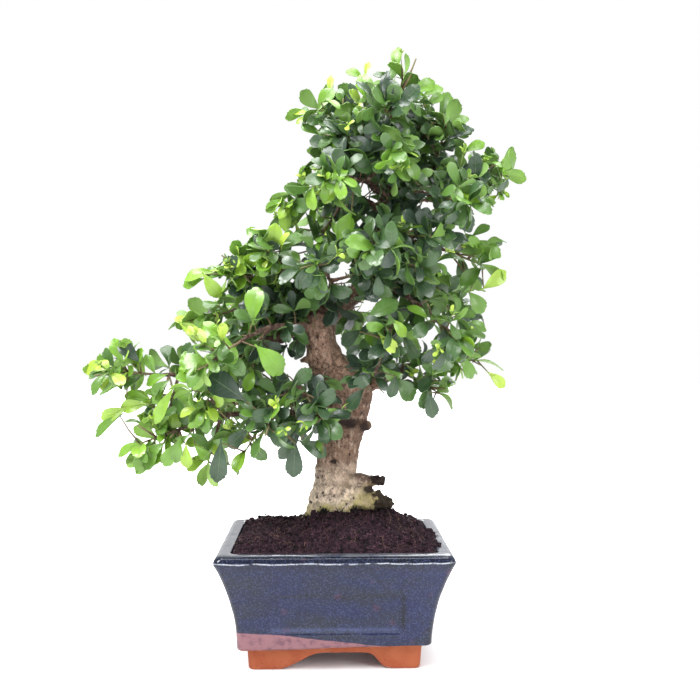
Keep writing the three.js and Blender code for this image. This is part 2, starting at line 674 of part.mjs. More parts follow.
const group = new THREE.Group();
group.add(piece('pot', pot, GLAZE));
group.add(piece('drain_screen_left', screens[0], PLASTIC));
group.add(piece('drain_screen_right', screens[1], PLASTIC));
group.add(piece('soil', soil, PEAT));
group.add(piece('trunk', trunk, BARE_WOOD));

const sprays = shoots.map(({ thin }) => thin);
seats.forEach((seat, number) => {
  const others = [pot, soil, trunk, ...sprays.filter((_, other) => other !== number)];
  const blades = leavesOf(seat.chosen, number, others);
  sprays[number] = join([sprays[number], ...blades]);
});
const tally = {};
seats.forEach(({ branch }, number) => {
  tally[branch.name] = (tally[branch.name] ?? 0) + 1;
  const name = `${branch.name}_spray_${tally[branch.name]}`;
  const finish = { colour: TONES[branch.tone], roughness: LEAF_ROUGHNESS };
  group.add(piece(name, sprays[number], finish));
});

// The origin goes to the bottom centre of the whole box.
const bounds = new THREE.Box3().setFromObject(group);
const centre = bounds.getCenter(new THREE.Vector3());
for (const mesh of group.children) {
  mesh.position.set(-centre.x, -centre.y, -bounds.min.z);
}

export default group;
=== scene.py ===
"""A fukien tea bonsai in its glazed tray: the looks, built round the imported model.

Every mesh is made in millimetres from the middle of the tray's footprint, with X to the right, Y to the
back and Z up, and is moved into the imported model's frame, in metres, when it is finished.
"""
import logging
import math
from collections.abc import Callable, Iterable, Iterator, Mapping, Sequence
from dataclasses import dataclass, field, replace
from enum import Enum
from functools import cache

import bmesh
import bpy
from bmesh.types import BMesh, BMVert
from bpy.types import ID, Material, Mesh, Node, NodeSocket, NodeTree, Object
from mathutils import Matrix, Vector, noise
from mathutils.kdtree import KDTree


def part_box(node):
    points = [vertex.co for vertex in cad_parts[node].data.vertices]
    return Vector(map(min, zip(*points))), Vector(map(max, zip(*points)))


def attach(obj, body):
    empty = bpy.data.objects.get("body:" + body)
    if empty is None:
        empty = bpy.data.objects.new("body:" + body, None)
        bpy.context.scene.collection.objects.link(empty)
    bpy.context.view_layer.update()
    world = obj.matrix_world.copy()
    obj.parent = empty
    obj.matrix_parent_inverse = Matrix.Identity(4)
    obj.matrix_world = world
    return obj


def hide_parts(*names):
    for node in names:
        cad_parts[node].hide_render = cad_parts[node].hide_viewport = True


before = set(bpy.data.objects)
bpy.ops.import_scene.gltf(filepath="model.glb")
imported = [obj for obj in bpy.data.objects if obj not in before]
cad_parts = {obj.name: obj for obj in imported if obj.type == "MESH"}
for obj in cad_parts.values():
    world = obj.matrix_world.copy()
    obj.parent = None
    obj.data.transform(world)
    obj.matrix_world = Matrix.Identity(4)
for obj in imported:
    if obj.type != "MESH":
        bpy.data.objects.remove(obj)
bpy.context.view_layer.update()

log = logging.getLogger("bonsai")

Colour = tuple[float, float, float]
Triple = tuple[float, float, float]
Value = float | Sequence[float] | NodeSocket
Level = tuple[Callable[[Vector], Vector], tuple[float, float]]

MM = 0.001
UP = Vector((0, 0, 1))
TRAY_LOW, TRAY_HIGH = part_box("pot")
MIDDLE = Vector(((TRAY_LOW.x + TRAY_HIGH.x) / 2, (TRAY_LOW.y + TRAY_HIGH.y) / 2, 0))
TO_FRAME = Matrix.Translation(MIDDLE) @ Matrix.Scale(MM, 4)
WELD = 1e-4
GOLDEN_ANGLE = 2.4
LIMB_STEPS = 6
BRANCH_TIP = 1.9
NOISE_SEED = 1
LEAF_MAP = "leaf_map"
LEAF_TRAITS = "leaf_traits"
WOOD_TRAITS = "wood_traits"


class Slot(Enum):
    """The record's material slots, one named for each finer piece; the leaves' slots also set their tones."""

    GLAZE = "glaze"
    PEAT = "peat"
    BARK = "bark"
    BRIGHT = "leaf_bright"
    MID = "leaf_mid"
    DARK = "leaf_dark"


def linear(red: int, green: int, blue: int) -> Colour:
    """Turns a screen colour into the linear one that a shader takes.

    Args:
        red: Red, from 0 to 255.
        green: Green, from 0 to 255.
        blue: Blue, from 0 to 255.

    Returns:
        The linear red, green and blue, from 0 to 1.
    """
    shares = (level / 255 for level in (red, green, blue))
    return tuple(share / 12.92 if share < 0.04045 else ((share + 0.055) / 1.055) ** 2.4 for share in shares)


def smooth_step(value: float, low: float, high: float) -> float:
    """Returns 0 below low and 1 above high, with a smooth rise between them."""
    share = min(1.0, max(0.0, (value - low) / (high - low)))
    return share * share * (3 - 2 * share)


def mix(first: float, second: float, share: float) -> float:
    """Returns the number that lies that share of the way from the first to the second."""
    return first + (second - first) * share


def ripple(place: Vector, size: float, octaves: int = 3, seed: float = 0.0) -> float:
    """Returns smooth noise at a place, from about -1 to 1, with lumps of about the given size."""
    offset = Vector((seed, 1.7 * seed, -2.3 * seed))
    return noise.fractal(place / size + offset, 0.5, 2.0, octaves, noise_basis="PERLIN_ORIGINAL")


def curve_shares(t: float) -> tuple[float, float, float, float]:
    """Returns how much each of a cubic curve's four points counts at a share of the curve."""
    return (1 - t) ** 3, 3 * t * (1 - t) ** 2, 3 * t**2 * (1 - t), t**3


class Dice:
    """A seeded generator, the same as the one that the part's own growth rule uses."""

    MULTIPLIER = 16807
    MODULUS = 2147483647

    def __init__(self, seed: int) -> None:
        """Starts the generator.

        Args:
            seed: A whole number from which all its draws follow.
        """
        self.state = seed

    def next(self) -> float:
        """Returns the next draw, from 0 to 1."""
        self.state = (self.state * self.MULTIPLIER) % self.MODULUS
        return self.state / self.MODULUS

    def between(self, low: float, high: float) -> float:
        """Returns a draw from low to high."""
        return low + (high - low) * self.next()


class Graph:
    """A shader node tree that is written as a list of steps."""

    def __init__(self, tree: NodeTree) -> None:
        """Takes the tree to write in.

        Args:
            tree: A material's, world's or node group's tree.
        """
        self.tree = tree

    def node(self, kind: str, inputs: Mapping[str | int, Value] | None = None, **settings: object) -> Node:
        """Adds a node.

        Args:
            kind: The node's type, such as ShaderNodeMath.
            inputs: A plain value, or the socket to link, for each named or numbered input.
            **settings: The node's own properties.

        Returns:
            The new node.
        """
        made = self.tree.nodes.new(kind)
        for name, value in settings.items():
            setattr(made, name, value)
        for name, value in (inputs or {}).items():
            socket = made.inputs[name]
            if isinstance(value, NodeSocket):
                self.tree.links.new(value, socket)
            elif socket.type == "RGBA" and len(value) == 3:
                socket.default_value = (*value, 1.0)
            else:
                socket.default_value = value
        return made

    def place(self) -> NodeSocket:
        """Returns the place on the object, in millimetres from the middle of the tray's footprint."""
        coordinates = self.node("ShaderNodeTexCoord").outputs["Object"]
        centred = self.node("ShaderNodeVectorMath", {0: coordinates, 1: MIDDLE}, operation="SUBTRACT")
        return self.node(
            "ShaderNodeVectorMath", {0: centred.outputs[0], "Scale": 1 / MM}, operation="SCALE"
        ).outputs[0]

    def axes(self, vector: NodeSocket) -> tuple[NodeSocket, NodeSocket, NodeSocket]:
        """Returns the X, Y and Z of a vector."""
        return tuple(self.node("ShaderNodeSeparateXYZ", {0: vector}).outputs)

    def stretched(self, vector: NodeSocket, stretch: Triple) -> NodeSocket:
        """Returns a vector with each axis multiplied by its own number."""
        return self.node("ShaderNodeVectorMath", {0: vector, 1: stretch}, operation="MULTIPLY").outputs[0]

    def math(self, operation: str, first: Value, second: Value = 0.0) -> NodeSocket:
        """Returns the result of one sum, such as ADD or MULTIPLY."""
        return self.node("ShaderNodeMath", {0: first, 1: second}, operation=operation).outputs[0]

    def plus(self, first: Value, second: Value) -> NodeSocket:
        """Returns the sum of two values."""
        return self.math("ADD", first, second)

    def minus(self, first: Value, second: Value) -> NodeSocket:
        """Returns the first value less the second."""
        return self.math("SUBTRACT", first, second)

    def times(self, first: Value, second: Value) -> NodeSocket:
        """Returns the product of two values."""
        return self.math("MULTIPLY", first, second)

    def step(self, value: NodeSocket, low: Value, high: Value) -> NodeSocket:
        """Returns 0 at low and 1 at high, with a smooth rise between them."""
        inputs = {"Value": value, "From Min": low, "From Max": high}
        return self.node("ShaderNodeMapRange", inputs, interpolation_type="SMOOTHSTEP").outputs[0]

    def hump(self, value: NodeSocket, low: float, high: float, soft: float) -> NodeSocket:
        """Returns 1 between two values and 0 outside them, with smooth edges of the given width."""
        return self.times(self.step(value, low, low + soft), self.step(value, high, high - soft))

    def span(self, value: NodeSocket, low: Value, high: Value) -> NodeSocket:
        """Returns a value from 0 to 1 spread evenly from low to high."""
        return self.node("ShaderNodeMapRange", {"Value": value, "To Min": low, "To Max": high}).outputs[0]

    def blend(self, share: Value, first: Value, second: Value, mode: str = "MIX") -> NodeSocket:
        """Returns the second colour laid over the first, as far as the share says."""
        inputs = {0: share, 6: first, 7: second}
        return self.node("ShaderNodeMix", inputs, data_type="RGBA", blend_type=mode).outputs[2]

    def layered(self, colour: Value, *layers: tuple[Value, Value, Value]) -> NodeSocket:
        """Returns a colour with others laid over it, each by its tone, its mask and how strong it is."""
        for tone, mask, strength in layers:
            colour = self.blend(self.times(mask, strength), colour, tone)
        return colour

    def shaded(self, colour: Value, shade: NodeSocket, share: float) -> NodeSocket:
        """Returns a colour made lighter or darker by a shade, as far as the share says."""
        grey = self.node("ShaderNodeCombineColor", {0: shade, 1: shade, 2: shade}).outputs[0]
        return self.blend(share, colour, grey, "MULTIPLY")

    def traits(self, name: str) -> tuple[NodeSocket, NodeSocket, NodeSocket, NodeSocket]:
        """Returns the red, green, blue and alpha of a mesh's traits."""
        given = self.node("ShaderNodeAttribute", attribute_name=name).outputs
        return (*self.node("ShaderNodeSeparateColor", {0: given["Color"]}).outputs, given["Alpha"])

    def noise(
        self, vector: NodeSocket, size: float, detail: float = 3.0, roughness: float = 0.5
    ) -> NodeSocket:
        """Returns noise from 0 to 1 with lumps of about the given size, in the vector's own unit."""
        inputs = {"Vector": vector, "Scale": 1 / size, "Detail": detail, "Roughness": roughness}
        return self.node("ShaderNodeTexNoise", inputs).outputs["Fac"]

    def wander(self, vector: NodeSocket, size: float, detail: float, reach: float) -> NodeSocket:
        """Returns noise that wanders round 0, by half the reach each way at most."""
        return self.times(self.minus(self.noise(vector, size, detail), 0.5), reach)

    def ramp(self, value: NodeSocket, stops: Sequence[tuple[float, Colour]]) -> NodeSocket:
        """Returns the colour at a value, from stops of a value and its colour."""
        made = self.node("ShaderNodeValToRGB", {0: value})
        elements = made.color_ramp.elements
        while len(elements) < len(stops):
            elements.new(0.5)
        for element, (position, colour) in zip(elements, stops):
            element.position = position
            element.color = (*colour, 1.0)
        return made.outputs[0]

    def bump(self, height: Value, distance: float) -> NodeSocket:
        """Returns the normal of a height, whose full range stands that many millimetres proud."""
        return self.node("ShaderNodeBump", {"Height": height, "Distance": distance * MM}).outputs[0]

    def surface(self, inputs: Mapping[str, Value]) -> NodeSocket:
        """Returns a Principled shader with these inputs."""
        return self.node("ShaderNodeBsdfPrincipled", inputs).outputs[0]


class SharedEffects:
    """The node groups that more than one finish uses."""

    def __init__(self) -> None:
        """Makes the groups."""
        self.patches = self._patches()
        self.specks = self._specks()

    @staticmethod
    def _new(name: str, **defaults: float) -> tuple[NodeTree, Graph, Node, Node]:
        """Starts a group that turns a place and some numbers into a mask.

        Args:
            name: The group's name.
            **defaults: The default of each number input.

        Returns:
            The tree, its graph, its input node and its output node.
        """
        tree = bpy.data.node_groups.new(name, "ShaderNodeTree")
        tree.interface.new_socket("Vector", in_out="INPUT", socket_type="NodeSocketVector")
        for label, default in defaults.items():
            socket = tree.interface.new_socket(label, in_out="INPUT", socket_type="NodeSocketFloat")
            socket.default_value = default
        tree.interface.new_socket("Mask", in_out="OUTPUT", socket_type="NodeSocketFloat")
        graph = Graph(tree)
        return tree, graph, graph.node("NodeGroupInput"), graph.node("NodeGroupOutput")

    def _patches(self) -> NodeTree:
        """Returns the group for soft-edged patches of another shade.

        Returns:
            A group whose inputs are the place, the patches' size, how much is covered and how soft the
            edges are, and whose output is the patches' mask.
        """
        tree, graph, given, out = self._new("patches", Size=10, Cover=0.5, Soft=0.1)
        scale = graph.math("DIVIDE", 1.0, given.outputs["Size"])
        inputs = {"Vector": given.outputs["Vector"], "Scale": scale, "Detail": 4.0, "Roughness": 0.6}
        cloud = graph.node("ShaderNodeTexNoise", inputs).outputs["Fac"]
        level = graph.minus(1.0, given.outputs["Cover"])
        low = graph.minus(level, given.outputs["Soft"])
        high = graph.plus(level, given.outputs["Soft"])
        tree.links.new(graph.step(cloud, low, high), out.inputs["Mask"])
        return tree

    def _specks(self) -> NodeTree:
        """Returns the group for scattered round specks.

        Returns:
            A group whose inputs are the place, the pitch of the specks, their share of it and how many
            of them show, and whose output is the specks' mask.
        """
        tree, graph, given, out = self._new("specks", Pitch=1, Width=0.4, Share=0.5)
        scale = graph.math("DIVIDE", 1.0, given.outputs["Pitch"])
        cells = graph.node("ShaderNodeTexVoronoi", {"Vector": given.outputs["Vector"], "Scale": scale})
        inner = graph.times(given.outputs["Width"], 0.5)
        disc = graph.step(cells.outputs["Distance"], given.outputs["Width"], inner)
        draw = graph.node("ShaderNodeSeparateColor", {0: cells.outputs["Color"]}).outputs[0]
        shown = graph.math("LESS_THAN", draw, given.outputs["Share"])
        tree.links.new(graph.times(disc, shown), out.inputs["Mask"])
        return tree


@dataclass(frozen=True)
class Finish:
    """A surface finish, which makes one material."""

    name: str
    effects: SharedEffects

    def make(self) -> Material:
        """Returns the finish's material."""
        material = bpy.data.materials.new(self.name)
        material.use_nodes = True
        material.node_tree.nodes.clear()
        graph = Graph(material.node_tree)
        graph.node("ShaderNodeOutputMaterial", {"Surface": self.shader(graph)})
        return material

    def shader(self, graph: Graph) -> NodeSocket:
        """Writes the finish's nodes.

        Args:
            graph: The material's graph.

        Returns:
            The shader that the material shows.
        """
        raise NotImplementedError

    def patches(self, graph: Graph, place: NodeSocket, size: float, cover: float, soft: float) -> NodeSocket:
        """Returns a mask of soft-edged patches."""
        inputs = {"Vector": place, "Size": size, "Cover": cover, "Soft": soft}
        return graph.node("ShaderNodeGroup", inputs, node_tree=self.effects.patches).outputs["Mask"]

    def specks(self, graph: Graph, place: NodeSocket, pitch: float, width: float, share: float) -> NodeSocket:
        """Returns a mask of scattered round specks."""
        inputs = {"Vector": place, "Pitch": pitch, "Width": width, "Share": share}
        return graph.node("ShaderNodeGroup", inputs, node_tree=self.effects.specks).outputs["Mask"]


@dataclass(frozen=True)
class TrayGlaze(Finish):
    """Mottled slate-blue glaze over terracotta, thin at its lower edge and absent on the feet, with painted
    shade and highlights on its lip, rim, corners and panels.
    """

    slate: Colour = linear(31, 35, 58)
    blue: Colour = linear(27, 34, 74)
    grey: Colour = linear(34, 38, 51)
    ink: Colour = linear(17, 19, 28)
    violet: Colour = linear(84, 42, 66)
    fleck: Colour = linear(72, 82, 118)
    # pale is the painted highlight along the lip, partly the glaze breaking pale there.
    pale: Colour = linear(200, 205, 216)
    # rim is the painted reflection of the backdrop on the rim's flat top.
    rim: Colour = linear(134, 136, 142)
    thin: Colour = linear(130, 90, 96)
    thin_dark: Colour = linear(98, 64, 76)
    clay: Colour = linear(152, 75, 45)
    clay_pale: Colour = linear(163, 89, 56)
    clay_dark: Colour = linear(84, 42, 34)
    clay_hole: Colour = linear(92, 48, 36)
    bare: float = -2.2
    panel_half: float = 57.6
    # Bands along each panel's edges, by low and high Z and strength: painted shade with pooled glaze below
    # and along the top, and a painted highlight on the lower bevel.
    panel_edge_shading: tuple[tuple[float, float, float], ...] = ((27.5, 33.5, 0.8), (33.5, 40.0, 0.8), (63.5, 70.0, 0.85))
    foot_top: float = 22.0
    wall_rise: float = 74.0
    wall_half: float = 82.6
    flare: float = 17.4
    flare_power: float = 1.9
    thin_rise: float = 12.5
    thin_left: float = -82.0
    thin_right: float = 66.0

    def shader(self, graph: Graph) -> NodeSocket:
        """Writes the glaze, the thin band and the bare clay, one over the other.

        Args:
            graph: The material's graph.

        Returns:
            The tray's shader.
        """
        place = graph.place()
        x, _, z = graph.axes(place)
        far = graph.math("ABSOLUTE", x)
        rightward = graph.step(x, -60.0, 60.0)
        bluer = graph.times(self.patches(graph, place, 34, 0.5, 0.3), 0.65)
        bluer = graph.plus(bluer, graph.times(graph.step(x, -60.0, 90.0), 0.35))
        clouds = self.patches(graph, graph.stretched(place, (1.0, 1.0, 2.4)), 50, 0.46, 0.16)
        glaze = graph.blend(clouds, graph.blend(bluer, self.slate, self.blue), self.grey)
        broken = graph.span(graph.noise(place, 22, 3), 0.1, 1.0)
        is_panel = graph.times(graph.step(far, self.panel_half, self.panel_half - 8), broken)
        # The panel's dark edge bands are painted shade with pooled glaze, and its pale band is a painted
        # highlight.
        for (low, high, share), tone in zip(self.panel_edge_shading, (self.ink, self.fleck, self.ink)):
            band = graph.times(graph.hump(z, low, high, (high - low) / 2), is_panel)
            glaze = graph.layered(glaze, (tone, band, share))
        # Painted shade and pooled glaze down the panel's right edge.
        side = graph.times(graph.hump(x, 53.0, 62.0, 4.0), graph.hump(z, 32.0, 72.0, 8.0))
        # Painted shade near the corners, where the wall turns away.
        rise = graph.math("MAXIMUM", graph.math("DIVIDE", graph.minus(z, self.foot_top), self.wall_rise), 0.0)
        flare = graph.times(graph.math("POWER", rise, self.flare_power), self.flare)
        half = graph.plus(flare, self.wall_half)
        corner = graph.step(graph.minus(half, far), 7.0, 1.5)
        # Painted highlight along the lip's roll, partly the glaze breaking pale there.
        line = graph.hump(graph.plus(z, graph.wander(place, 14, 3, 2.2)), 96.4, 97.8, 0.5)
        spots = graph.times(self.specks(graph, place, 15, 0.3, 0.4), graph.noise(place, 3, 3))
        pits = self.specks(graph, graph.stretched(place, (1.0, 1.0, 1.06)), 1.3, 0.66, 0.45)
        # Painted reflection of the backdrop on the rim's flat top, stronger to the right.
        flat = graph.times(graph.step(z, 101.9, 102.6), self.patches(graph, place, 16, 0.6, 0.3))
        glaze = graph.layered(
            glaze,
            (self.ink, side, 0.8),
            (self.ink, corner, 0.6),
            # Painted shade, darker up the lip.
            (self.ink, graph.step(z, 88.0, 99.0), 0.75),
            (self.pale, graph.times(line, self.patches(graph, place, 12, 0.56, 0.08)), 0.6),
            (self.ink, self.patches(graph, place, 6, 0.3, 0.06), 0.4),
            (self.violet, spots, 0.6),
            (self.fleck, self.specks(graph, place, 1.2, 0.66, 0.42), 0.36),
            (self.ink, pits, 0.6),
            (self.rim, flat, graph.span(rightward, 0.3, 0.55)),
        )

        wave = graph.wander(place, 26, 2, 3.0)
        across = graph.minus(1.0, graph.step(x, self.thin_left, self.thin_right))
        edge = graph.plus(graph.plus(self.foot_top - 0.4, graph.times(across, self.thin_rise)), wave)
        is_thick = graph.step(graph.minus(z, edge), -0.35, 0.35)
        thin = graph.blend(self.patches(graph, place, 6, 0.42, 0.12), self.thin, self.thin_dark)
        body = graph.blend(is_thick, thin, glaze)

        holes = self.specks(graph, place, 4.2, 0.17, 0.3)
        clay = graph.layered(
            graph.blend(self.patches(graph, place, 12, 0.5, 0.2), self.clay, self.clay_pale),
            (self.clay_dark, self.patches(graph, place, 5, 0.3, 0.05), 0.5),
            (self.clay_hole, holes, 0.85),
        )
        bare = graph.plus(self.foot_top + self.bare, graph.times(wave, 0.3))
        above = graph.minus(z, graph.plus(bare, graph.times(rightward, 1.6)))
        is_body = graph.step(above, -0.4, 0.4)
        # A darker, broken line along the glaze's lower edge, under the wall's overhang.
        seam = graph.step(graph.math("ABSOLUTE", above), 1.3, 0.4)
        seam = graph.times(seam, self.patches(graph, place, 9, 0.6, 0.1))
        colour = graph.layered(graph.blend(is_body, clay, body), (self.clay_dark, seam, 0.6))

        smooth = graph.times(is_body, graph.span(is_thick, 0.72, 1.0))
        roughness = graph.span(smooth, 0.82, 0.1)
        orange_peel = graph.times(graph.noise(place, 7, 2), 0.3)
        sandy = graph.times(graph.noise(place, 0.8, 3), graph.span(is_body, 0.9, 0.0))
        height = graph.plus(graph.plus(orange_peel, sandy), graph.times(holes, -0.6))
        normal = graph.bump(height, 0.22)
        inputs = {"Base Color": colour, "Roughness": roughness, "Normal": normal, "Specular IOR Level": 0.38}
        return graph.surface(inputs)


@dataclass(frozen=True)
class Peat(Finish):
    """Dark fibrous peat with paler threads and crumbs."""

    dark: Colour = linear(13, 8, 12)
    brown: Colour = linear(52, 32, 42)
    pale: Colour = linear(118, 84, 94)

    def shader(self, graph: Graph) -> NodeSocket:
        """Writes the peat.

        Args:
            graph: The material's graph.

        Returns:
            The peat's shader.
        """
        place = graph.place()
        colour = graph.blend(self.patches(graph, place, 4.0, 0.56, 0.05), self.dark, self.brown)
        for stretch, share in (((1.0, 3.2, 3.2), 0.75), ((3.2, 1.0, 3.2), 0.65)):
            threads = self.patches(graph, graph.stretched(place, stretch), 4.4, 0.38, 0.04)
            colour = graph.layered(colour, (self.pale, threads, share))
        colour = graph.layered(colour, (self.dark, self.specks(graph, place, 2.4, 0.6, 0.35), 0.8))
        normal = graph.bump(graph.noise(place, 1.3, 5, 0.75), 3.0)
        inputs = {"Base Color": colour, "Roughness": 0.95, "Normal": normal, "Specular IOR Level": 0.25}
        return graph.surface(inputs)


@dataclass(frozen=True)
class TwoTone(Finish):
    """One colour with soft patches of another, and a fine grain.

    A patch has a size in millimetres, how much it covers and how soft its edge is. The grain has a size
    and a height in millimetres.
    """

    base: Colour
    over: Colour
    patch: Triple
    grain: tuple[float, float]
    roughness: float = 0.8

    def shader(self, graph: Graph) -> NodeSocket:
        """Writes the two colours.

        Args:
            graph: The material's graph.

        Returns:
            The finish's shader.
        """
        place = graph.place()
        colour = graph.blend(self.patches(graph, place, *self.patch), self.base, self.over)
        size, height = self.grain
        normal = graph.bump(graph.noise(place, size, 2), height)
        return graph.surface({"Base Color": colour, "Roughness": self.roughness, "Normal": normal})


@dataclass(frozen=True)
class Bark(Finish):
    """Bark that is cream at the foot and mauve-brown above, with cracks, soil and moss where they lie.

    The wood's traits are its dark cracks, rot, soil and painted shade in creases in red, its moss in green
    and its sawn faces in blue.
    """

    cream: Colour = linear(240, 218, 194)
    tan: Colour = linear(130, 104, 86)
    brown: Colour = linear(114, 88, 73)
    limb: Colour = linear(168, 135, 115)
    twig: Colour = linear(100, 76, 65)
    crack: Colour = linear(34, 24, 23)
    moss: Colour = linear(204, 190, 128)
    sawn: Colour = linear(150, 122, 96)
    lenticel: Colour = linear(62, 45, 38)
    heights: tuple[float, ...] = (118.0, 144.0, 176.0, 205.0, 262.0, 330.0)
    top: float = 500.0

    def shader(self, graph: Graph) -> NodeSocket:
        """Writes the bark.

        Args:
            graph: The material's graph.

        Returns:
            The bark's shader.
        """
        place = graph.place()
        z = graph.axes(place)[2]
        crack, moss, sawn, thinness = graph.traits(WOOD_TRAITS)
        level = graph.math("DIVIDE", graph.plus(z, graph.wander(place, 30, 3, 60.0)), self.top)
        tones = (self.cream, self.cream, self.tan, self.brown, self.limb, self.twig)
        colour = graph.ramp(level, [(height / self.top, tone) for height, tone in zip(self.heights, tones)])
        dots = self.specks(graph, graph.stretched(place, (1.0, 1.0, 0.6)), 5.5, 0.2, 0.3)
        colour = graph.layered(
            graph.blend(thinness, colour, self.twig),
            (self.twig, self.patches(graph, place, 8, 0.42, 0.12), 0.35),
            (self.cream, self.patches(graph, graph.stretched(place, (1.0, 1.0, 0.5)), 4, 0.4, 0.1), 0.3),
            (self.brown, self.patches(graph, graph.stretched(place, (1.0, 1.0, 1.4)), 13, 0.4, 0.12), 0.3),
            (self.lenticel, dots, 0.75),
        )
        fine = graph.noise(graph.stretched(place, (1.0, 1.0, 0.55)), 2.8, 6, 0.78)
        colour = graph.shaded(colour, graph.span(graph.step(fine, 0.34, 0.66), 0.62, 1.3), 0.9)
        off = graph.math("ABSOLUTE", graph.minus(graph.noise(place, 7.5, 4, 0.6), 0.5))
        split = graph.times(graph.step(off, 0.022, 0.004), self.patches(graph, place, 16, 0.55, 0.1))
        green = self.patches(graph, place, 7, 0.55, 0.16)
        colour = graph.layered(colour, (self.crack, split, 0.7), (self.moss, green, moss))
        rings = graph.noise(place, 2.2, 4, 0.65)
        colour = graph.blend(sawn, colour, graph.blend(rings, self.sawn, self.crack))
        # The red trait paints cracks, rot and soil, and painted shade in the creases and under the leaves at
        # the waist.
        dark_and_crease_shade = graph.times(crack, graph.span(graph.noise(place, 3.0, 4, 0.7), 0.55, 1.3))
        colour = graph.layered(colour, (self.crack, graph.step(dark_and_crease_shade, 0.3, 0.9), 0.92))
        grain = graph.noise(graph.stretched(place, (1.0, 1.0, 0.35)), 1.5, 5, 0.7)
        wrinkles = graph.noise(graph.stretched(place, (0.45, 0.45, 2.4)), 4.0, 3, 0.6)
        height = graph.plus(grain, graph.times(wrinkles, 0.7))
        height = graph.minus(height, graph.times(graph.math("MAXIMUM", dots, split), 0.5))
        inputs = {"Base Color": colour, "Roughness": 0.85, "Normal": graph.bump(height, 1.9)}
        return graph.surface({**inputs, "Specular IOR Level": 0.3})


@dataclass(frozen=True)
class LeafSkin(Finish):
    """A leaf's glossy upper face and pale under face, with a midrib and side veins.

    The leaf's traits are its age in red, 1 on its under face in green, and a draw of its own in blue. Its
    map runs from -1 to 1 across the leaf and from 0 to 1 along it.
    """

    lime: Colour = linear(184, 212, 78)
    fresh: Colour = linear(122, 170, 44)
    green: Colour = linear(87, 127, 50)
    deep: Colour = linear(56, 85, 50)
    ink: Colour = linear(44, 63, 50)
    under_young: Colour = linear(150, 192, 84)
    under_old: Colour = linear(94, 130, 68)
    vein: Colour = linear(134, 164, 100)
    ages: tuple[float, ...] = (0.0, 0.25, 0.5, 0.76, 1.0)
    vein_pairs: float = 6.0
    glow: float = 0.2

    def shader(self, graph: Graph) -> NodeSocket:
        """Writes the leaf.

        Args:
            graph: The material's graph.

        Returns:
            The leaf's shader, which lets some light through.
        """
        place = graph.place()
        age, under, _, _ = graph.traits(LEAF_TRAITS)
        across, along, _ = graph.axes(graph.node("ShaderNodeUVMap", uv_map=LEAF_MAP).outputs[0])
        off = graph.math("ABSOLUTE", across)

        tones = (self.lime, self.fresh, self.green, self.deep, self.ink)
        cloud = graph.noise(place, 9, 3)
        upper = graph.shaded(graph.ramp(age, list(zip(self.ages, tones))), graph.span(cloud, 0.72, 1.25), 1.0)
        lower = graph.blend(age, self.under_young, self.under_old)
        colour = graph.blend(under, upper, lower)

        rib_edge = graph.times(graph.minus(1.15, along), 0.085)
        rib = graph.minus(1.0, graph.step(off, graph.times(rib_edge, 0.4), rib_edge))
        rise = graph.minus(along, graph.times(off, 0.2))
        wave = graph.math("PINGPONG", graph.times(rise, self.vein_pairs), 0.5)
        side = graph.minus(1.0, graph.step(wave, 0.02, 0.1))
        side = graph.times(side, graph.minus(1.0, graph.step(off, 0.55, 0.95)))
        veins = graph.math("MAXIMUM", graph.times(rib, 0.32), graph.times(side, 0.09))
        colour = graph.blend(veins, colour, self.vein)

        gloss = graph.span(graph.noise(place, 4, 3), 0.22, 0.48)
        roughness = graph.plus(gloss, graph.times(under, 0.3))
        height = graph.minus(graph.times(cloud, 0.6), graph.times(veins, 1.4))
        height = graph.plus(height, graph.times(graph.noise(place, 0.9, 2), 0.25))
        normal = graph.bump(height, 0.35)
        inputs = {"Base Color": colour, "Roughness": roughness, "Normal": normal, "Specular IOR Level": 0.65}
        skin = graph.surface({**inputs, "Coat Weight": 0.25, "Coat Roughness": 0.22})
        warm = graph.blend(0.35, colour, self.fresh)
        light = graph.node("ShaderNodeBsdfTranslucent", {"Color": warm}).outputs[0]
        return graph.node("ShaderNodeMixShader", {0: self.glow, 1: skin, 2: light}).outputs[0]


@dataclass(frozen=True)
class TwigSkin(Finish):
    """A shoot that is brown at its foot and green where it is new, as its traits' red says."""

    brown: Colour = linear(106, 79, 67)
    green: Colour = linear(140, 168, 74)
    mark: Colour = linear(70, 50, 44)

    def shader(self, graph: Graph) -> NodeSocket:
        """Writes the twig.

        Args:
            graph: The material's graph.

        Returns:
            The twig's shader.
        """
        place = graph.place()
        colour = graph.blend(graph.traits(LEAF_TRAITS)[0], self.green, self.brown)
        colour = graph.layered(colour, (self.mark, self.patches(graph, place, 2.5, 0.45, 0.1), 0.35))
        normal = graph.bump(graph.noise(place, 0.9, 3), 0.3)
        return graph.surface({"Base Color": colour, "Roughness": 0.7, "Normal": normal})


@dataclass(frozen=True)
class Sweep(Finish):
    """A white paper sweep, plain under the object and glowing further out, so that it has no horizon."""

    colour: Colour = (0.8, 0.8, 0.8)
    near: float = 70.0
    far: float = 210.0

    def shader(self, graph: Graph) -> NodeSocket:
        """Writes the paper.

        Args:
            graph: The material's graph.

        Returns:
            The paper's shader.
        """
        place = graph.place()
        away = graph.node("ShaderNodeVectorMath", {0: place}, operation="LENGTH").outputs["Value"]
        shown = graph.node("ShaderNodeLightPath").outputs["Is Camera Ray"]
        glow = graph.times(graph.step(away, self.near, self.far), shown)
        inputs = {"Base Color": self.colour, "Roughness": 0.8, "Emission Color": (1.0, 1.0, 1.0)}
        return graph.surface({**inputs, "Emission Strength": glow})


def to_mesh(name: str, bm: BMesh) -> Mesh:
    """Returns a mesh of the given name, and frees the bmesh that it is made from."""
    mesh = bpy.data.meshes.new(name)
    bm.to_mesh(mesh)
    bm.free()
    return mesh


def link(name: str, data: ID) -> Object:
    """Returns a new object of a mesh, light or camera, in the scene."""
    made = bpy.data.objects.new(name, data)
    bpy.context.scene.collection.objects.link(made)
    return made


